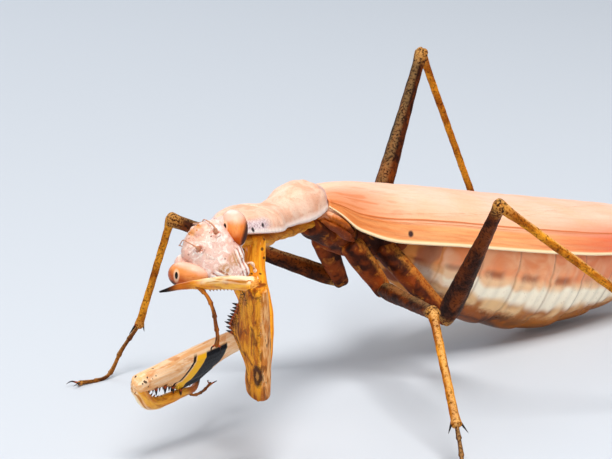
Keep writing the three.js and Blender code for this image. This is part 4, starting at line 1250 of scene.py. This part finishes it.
# Along each joint of a tarsus: where, as a share of the joint, and how thick against the tarsus.
TARSUS_JOINT = ((0, 0.8), (0.7, 0.95), (0.92, 1.15))
WALKING_TARSUS, WALKING_CLAW = 0.2, 0.95
HIP_STATIONS = [[0, 0.98], [0.3, 0.95], [0.75, 0.8], [1, 0.72]]
WALKING_TIBIA = [[0.0, 0.45], [0.05, 0.4], [0.1, 0.33], [0.6, 0.31], [0.93, 0.34], [1.0, 0.42]]
SPUR_RADIUS = 0.13
# The height of a foot's last joint over the floor, of its sole behind it, and how long the sole is.
TOE_HEIGHT, SOLE_HEIGHT, SOLE_LENGTH = 0.26, 0.3, 3.2

# Stations of the fore femora: [t, half-width, depth to the spined edge, depth to the back]. The right
# one is seen turned, and narrower toward its knee.
FEMUR = {
    "l": [
        [0.0, 0.75, 1.1, 0.95], [0.08, 0.75, 1.2, 1.0], [0.2, 0.75, 1.1, 1.05], [0.34, 0.8, 1.6, 1.05],
        [0.53, 0.85, 2.4, 1.05], [0.62, 0.82, 2.1, 1.0], [0.7, 0.8, 1.78, 1.0], [0.85, 0.75, 1.4, 0.95],
        [1.0, 0.65, 0.95, 0.85],
    ],
    "r": [
        [0.0, 0.7, 0.8, 0.95], [0.2, 0.75, 0.95, 1.05], [0.36, 0.8, 1.2, 1.05], [0.45, 0.85, 1.75, 1.05],
        [0.54, 0.85, 2.25, 1.05], [0.64, 0.8, 2.3, 1.0], [0.72, 0.78, 1.7, 1.0], [0.82, 0.75, 1.1, 0.95],
        [1.0, 0.65, 0.9, 0.9],
    ],
}
FORE_COXA = [[0.0, 0.7, 0.8, 0.8], [0.3, 0.7, 0.85, 0.85], [0.55, 0.85, 0.85, 0.85], [1, 0.7, 0.7, 0.7]]
FORE_TIBIA = [
    [0.0, 0.55, 0.55, 0.6], [0.12, 0.52, 0.5, 0.62], [0.3, 0.48, 0.48, 0.56], [0.55, 0.42, 0.45, 0.45],
    [0.68, 0.35, 0.36, 0.36], [0.9, 0.19, 0.18, 0.18], [1.0, 0.05, 0.05, 0.05],
]
# Spine rows of a fore femur: how many, from and to where, aside, how long, and their lean to its foot.
SPINES = {
    "l": [(9, 0.47, 0.77, 0.32, 0.62, 0.36), (4, 0.5, 0.74, -0.36, 0.55, 0.36)],
    "r": [(10, 0.68, 0.93, -0.3, 1.0, 0.2), (4, 0.66, 0.88, 0.36, 0.9, 0.3),
          (4, 0.46, 0.6, 0.0, 0.5, 0.1)],
}
# A spine's thickness, how deep it is rooted, how far it shows at least, and the share of the length
# that every second one has.
SPINE_RADIUS, SPINE_ROOT, SPINE_REACH, SPINE_SHORT = 0.17, 0.22, 0.15, 0.8
# A fore tibia's teeth: how many, how thick, how high their tips are and how far they lean to the claw.
TEETH, TOOTH_RADIUS, TOOTH_HEIGHT, TOOTH_LEAN = 11, 0.16, 0.78, 0.2
# How far out along the claw a fore tarsus springs, as a share, and how long its own claws are.
TARSUS_START, FORE_CLAW = 0.2, 0.6
KNEE_RADIUS = 0.5


def leg_piece(pair, letter, slot):
    nodes = [f"{pair}_{segment}_{letter}" for segment in ("coxa", "femur", "tibia", "tarsus")]
    return Piece(f"{pair}_leg_{letter}", nodes, slot)


def add_tarsus(leg, path, way, claw, material, thick):
    """Five short joints, each flared at its end, and a pair of curved claws that point the given way."""
    stations = [[(i + share) / 5, thick * swell] for i in range(5) for share, swell in TARSUS_JOINT]
    stations.append([1, thick * 0.8])
    leg.add(loft(path, stations, 90, 16, (0.1, 0.2, 1)), material)
    tip = np.array(path[-1], float)
    side = unit(np.cross(way, Z_UP))
    for hand in (-1, 1):
        root = tip - way * 0.1 + side * hand * 0.1
        end = tip + way * claw + side * hand * claw * 0.55
        bend = Z_UP * 0.18 * claw + side * hand * 0.15
        leg.add(spine(root, end, thick * 0.5, bend), horn_skin)


def build_walking_leg(name):
    pair, letter = name.split("_")
    hand = -1 if letter == "l" else 1
    hip, thick = HIPS[pair], THICK[pair]
    root = moved(BODY, (hip[0], hip[1] * hand, hip[2]))
    trochanter, knee, ankle, foot = (np.array(p, float) for p in WALKING[name])
    leg = leg_piece(pair, letter, "walking_leg")
    leg.add(loft([root, trochanter], HIP_STATIONS, 50, 40, relief=ridged(0.06)), thorax_skin)
    femur = [[0.0, thick * 0.75], [0.03, thick * 0.85], [0.12, thick], [0.4, thick * 0.86], [0.8, 0.54]]
    femur += [[0.93, 0.5], [1, 0.58]]
    leg.add(loft([trochanter, knee], femur, 110, 40, relief=ridged(0.07)), femur_skin)
    leg.add(loft([knee, ankle], WALKING_TIBIA, 110, 28, relief=ridged(0.04)), tibia_skin)
    along = unit(ankle - knee)
    side = unit(np.cross(along, Z_UP))
    for turned in (-1, 1):
        spur = ankle - along * 0.4 + side * turned * 0.25
        leg.add(spine(spur, ankle + along * 0.95 + side * turned * 0.8, SPUR_RADIUS), horn_skin)
    level = unit((foot - ankle) * (1, 1, 0))
    toe = foot * (1, 1, 0) + Z_UP * TOE_HEIGHT
    sole = foot - level * SOLE_LENGTH + Z_UP * SOLE_HEIGHT
    instep = ankle + (sole - ankle) * 0.55 + Z_UP * 0.25
    add_tarsus(leg, [ankle, instep, sole, toe], level, WALKING_CLAW, foot_skin, WALKING_TARSUS)
    leg.stand()
    leg.build()


def femur_relief(t, angle, along):
    """A keel along the spined edge, with a groove on each side, and a ridge on each side of the back."""
    keel = 0.09 * bell(np.sin(angle), 1.0, 0.25) - 0.1 * bell(np.sin(angle), 0.72, 0.2)
    ridge = 0.06 * bell(np.sin(angle), -0.45, 0.15)
    return keel * smoothstep(t, 0.2, 0.4) + ridge


def add_spines(leg, letter, trochanter, knee, spined, outer):
    """The rows of spines along a fore femur's edge. Every second one is shorter."""
    depth_at = eased([[row[0], row[2]] for row in FEMUR[letter]])
    for count, first, last, offset, length, lean in SPINES[letter]:
        for i in range(count):
            t = first + (last - first) * i / (count - 1)
            depth = float(depth_at(t)[0]) - SPINE_ROOT
            at = trochanter + (knee - trochanter) * t + outer * offset
            reach = depth + SPINE_REACH + length * (SPINE_SHORT if i % 2 else 1.0)
            tip = at + spined * reach - unit(knee - trochanter) * lean
            leg.add(spine(at + spined * depth, tip, SPINE_RADIUS), horn_skin)


def add_shin(leg, knee, tibia_end, claw_tip, spined, inward, bow_depth):
    """A fore tibia: it springs from the knee, bows away from the femur and ends in its claw."""
    tibia_axis = unit(tibia_end - knee)
    hinge = knee + spined * 0.45
    bow = hinge + (tibia_end - hinge) * 0.45 - inward * bow_depth
    bend = tibia_end + tibia_axis * 1.6
    bend = bend + (claw_tip - bend) * 0.35
    shin = [hinge, bow, tibia_end, bend, claw_tip]
    leg.add(loft(shin, FORE_TIBIA, 150, 36, inward, dome=0.8, relief=ridged(0.04)), tibia_claw)
    for share in 0.18 + 0.78 * np.arange(TEETH) / (TEETH - 1):
        sag = 4 * bow_depth * share * (1 - share)
        at = hinge + (tibia_end - hinge) * share - inward * sag
        tip = at + inward * TOOTH_HEIGHT + tibia_axis * TOOTH_LEAN
        leg.add(spine(at + inward * 0.2, tip, TOOTH_RADIUS), tooth_skin)


def build_raptorial_leg(name, femur_material):
    letter, given = name[-1], RAPTORIAL[name]
    hand = -1 if letter == "l" else 1
    trochanter, knee, tibia_end, claw_tip = (np.array(p, float) for p in given["joints"])
    root = moved(PROTHORAX, (-COXA_STATION, hand * 1.4, -1.2))
    # The femur's spined edge is on the side that the tibia folds to, and inward is toward the femur.
    femur_axis, tibia_axis = unit(knee - trochanter), unit(tibia_end - knee)
    spined = unit(tibia_axis - femur_axis * tibia_axis.dot(femur_axis))
    inward = -unit(femur_axis - tibia_axis * femur_axis.dot(tibia_axis))
    leg = leg_piece("fore", letter, "foreleg")
    coxa = [root, *given["coxa_bends"], trochanter]
    leg.add(loft(coxa, FORE_COXA, 100, 48, spined, relief=ridged(0.05)), coxa_skin)
    thigh = [trochanter, knee]
    femur = loft(thigh, FEMUR[letter], 150, 64, spined, dome=given["knee_dome"], relief=femur_relief)
    leg.add(femur, femur_material)
    add_spines(leg, letter, trochanter, knee, spined, np.cross(femur_axis, spined))
    add_shin(leg, knee, tibia_end, claw_tip, spined, inward, given["bow"])
    leg.add(ball(knee + spined * 0.3, (KNEE_RADIUS,) * 3), knee_skin)
    toes = np.array(given["tarsus"], float)
    ankle = tibia_end + (claw_tip - tibia_end) * TARSUS_START
    add_tarsus(leg, [ankle, *toes], unit(toes[-1] - toes[-2]), FORE_CLAW, tarsus_skin, given["slim"])
    leg.build()


# ---- floor, light and camera ----------------------------------------------------------------

CAMERA_DISTANCE = 0.230
CAMERA_AZIMUTH, CAMERA_ELEVATION, CAMERA_ROLL = -42.3, 12.4, -1.4
SENSOR_WIDTH = 36
# The lens, in widths of the 612-pixel picture.
FOCAL_SHARE = 3018.75 / 612
# The camera stands off from this point at the head, and is turned right and up by these tangents.
VIEWED_HEAD = (-25.7, -11.2, 17.6)
AIM = (0.0320, 0.0063)

WORLD_COLOUR, WORLD_STRENGTH = (0.92, 0.94, 0.97, 1), 0.46
LIT_PLACE = (-0.01, -0.005, 0.012)
# Soft lamps: place, size, power and colour.
LAMPS = {
    "sky": ((-0.10, -0.14, 0.40), 0.22, 1.8, (1.0, 0.97, 0.93)),
    "front": ((-0.32, -0.28, 0.16), 0.22, 0.45, (1.0, 0.96, 0.9)),
    "rim": ((0.1, 0.35, 0.25), 0.2, 0.4, (0.92, 0.96, 1.0)),
}


def build_floor():
    bpy.ops.mesh.primitive_plane_add(size=6)
    floor = bpy.context.object
    floor.name = "floor"
    s = Shader("floor_paint")
    s.colour = (206, 212, 220)
    floor.data.materials.append(s.finish(0.8))


def add_lamp(name, place, size, power, colour):
    light = bpy.data.lights.new(name, "AREA")
    light.shape = "DISK"
    light.size, light.energy, light.color = size, power, colour
    lamp = bpy.data.objects.new(name, light)
    lamp.location = place
    lamp.rotation_mode = "QUATERNION"
    lamp.rotation_quaternion = (Vector(LIT_PLACE) - Vector(place)).to_track_quat("-Z", "Y")
    bpy.context.scene.collection.objects.link(lamp)


def build_light():
    world = bpy.data.worlds.new("studio")
    bpy.context.scene.world = world
    world.use_nodes = True
    inputs = world.node_tree.nodes["Background"].inputs
    inputs["Color"].default_value = WORLD_COLOUR
    inputs["Strength"].default_value = WORLD_STRENGTH
    for name, settings in LAMPS.items():
        add_lamp(name, *settings)
    bpy.context.scene.view_settings.view_transform = "Standard"


def build_camera():
    """The camera stands off from the head and is aimed so that the head sits left of the middle."""
    a, e, r = (math.radians(d) for d in (CAMERA_AZIMUTH, CAMERA_ELEVATION, CAMERA_ROLL))
    back = Vector((math.sin(a) * math.cos(e), -math.cos(a) * math.cos(e), math.sin(e)))
    level = (-back).cross(Vector(Z_UP)).normalized()
    upright = level.cross(-back)
    right = level * math.cos(r) + upright * math.sin(r)
    up = upright * math.cos(r) - level * math.sin(r)
    aim = (-back + right * AIM[0] + up * AIM[1]).normalized()
    across = aim.cross(up).normalized()
    camera = bpy.data.objects.new("camera", bpy.data.cameras.new("camera"))
    camera.data.sensor_width = SENSOR_WIDTH
    camera.data.lens = SENSOR_WIDTH * FOCAL_SHARE
    camera.data.clip_start, camera.data.clip_end = 0.01, 10
    matrix = Matrix((across, across.cross(aim), -aim)).transposed().to_4x4()
    matrix.translation = Vector(to_metres(VIEWED_HEAD)) + back * CAMERA_DISTANCE
    camera.matrix_world = matrix
    bpy.context.scene.collection.objects.link(camera)
    bpy.context.scene.camera = camera


# ---- the model ------------------------------------------------------------------------------

build_camera()
build_light()
build_floor()

horn_skin = horny("horn", 0.12, 0.42, (170, 78, 20), (14, 7, 5), Specular_IOR_Level=0.2)
tooth_skin = horny("tooth", 0.35, 0.8, (222, 150, 48), (120, 62, 18))
ocellus_glass = ocellus()
feeler_skin = feeler_material()
palp_skin = palp_cuticle()
thorax_skin = dark_thorax()
root_skin = wing_root_skin()
foreleg_skin = foreleg_plain("foreleg_ochre", (236, 172, 62), (204, 128, 28), (140, 78, 18))
knee_skin = foreleg_plain("knee_brown", (238, 176, 92), (190, 112, 30), (64, 28, 6))
coxa_skin = coxa_outer()
tibia_claw = tibia_claw_skin()
tarsus_skin = foreleg_plain("tarsus_brown", (190, 118, 34), (116, 62, 14), (42, 20, 10))
femur_skin = walking_cuticle("femur_brown", (122, 62, 12), (52, 20, 3), (16, 6, 2), 0.8, 0.2)
tibia_skin = walking_cuticle("tibia_gold", (232, 160, 46), (166, 94, 14), (50, 22, 6), 0.7, 0.6)
foot_skin = walking_cuticle("foot_brown", (150, 96, 36), (92, 50, 16), (30, 14, 7), 0.8, 0.3)

build_head()
build_antennae()
build_prothorax()
build_trunk()
for wing_name in TEGMINA:
    build_tegmen(wing_name)
build_hindwings()
build_wing_roots()
for leg_name in WALKING:
    build_walking_leg(leg_name)
build_raptorial_leg("fore_l", femur_outer())
build_raptorial_leg("fore_r", femur_inner())
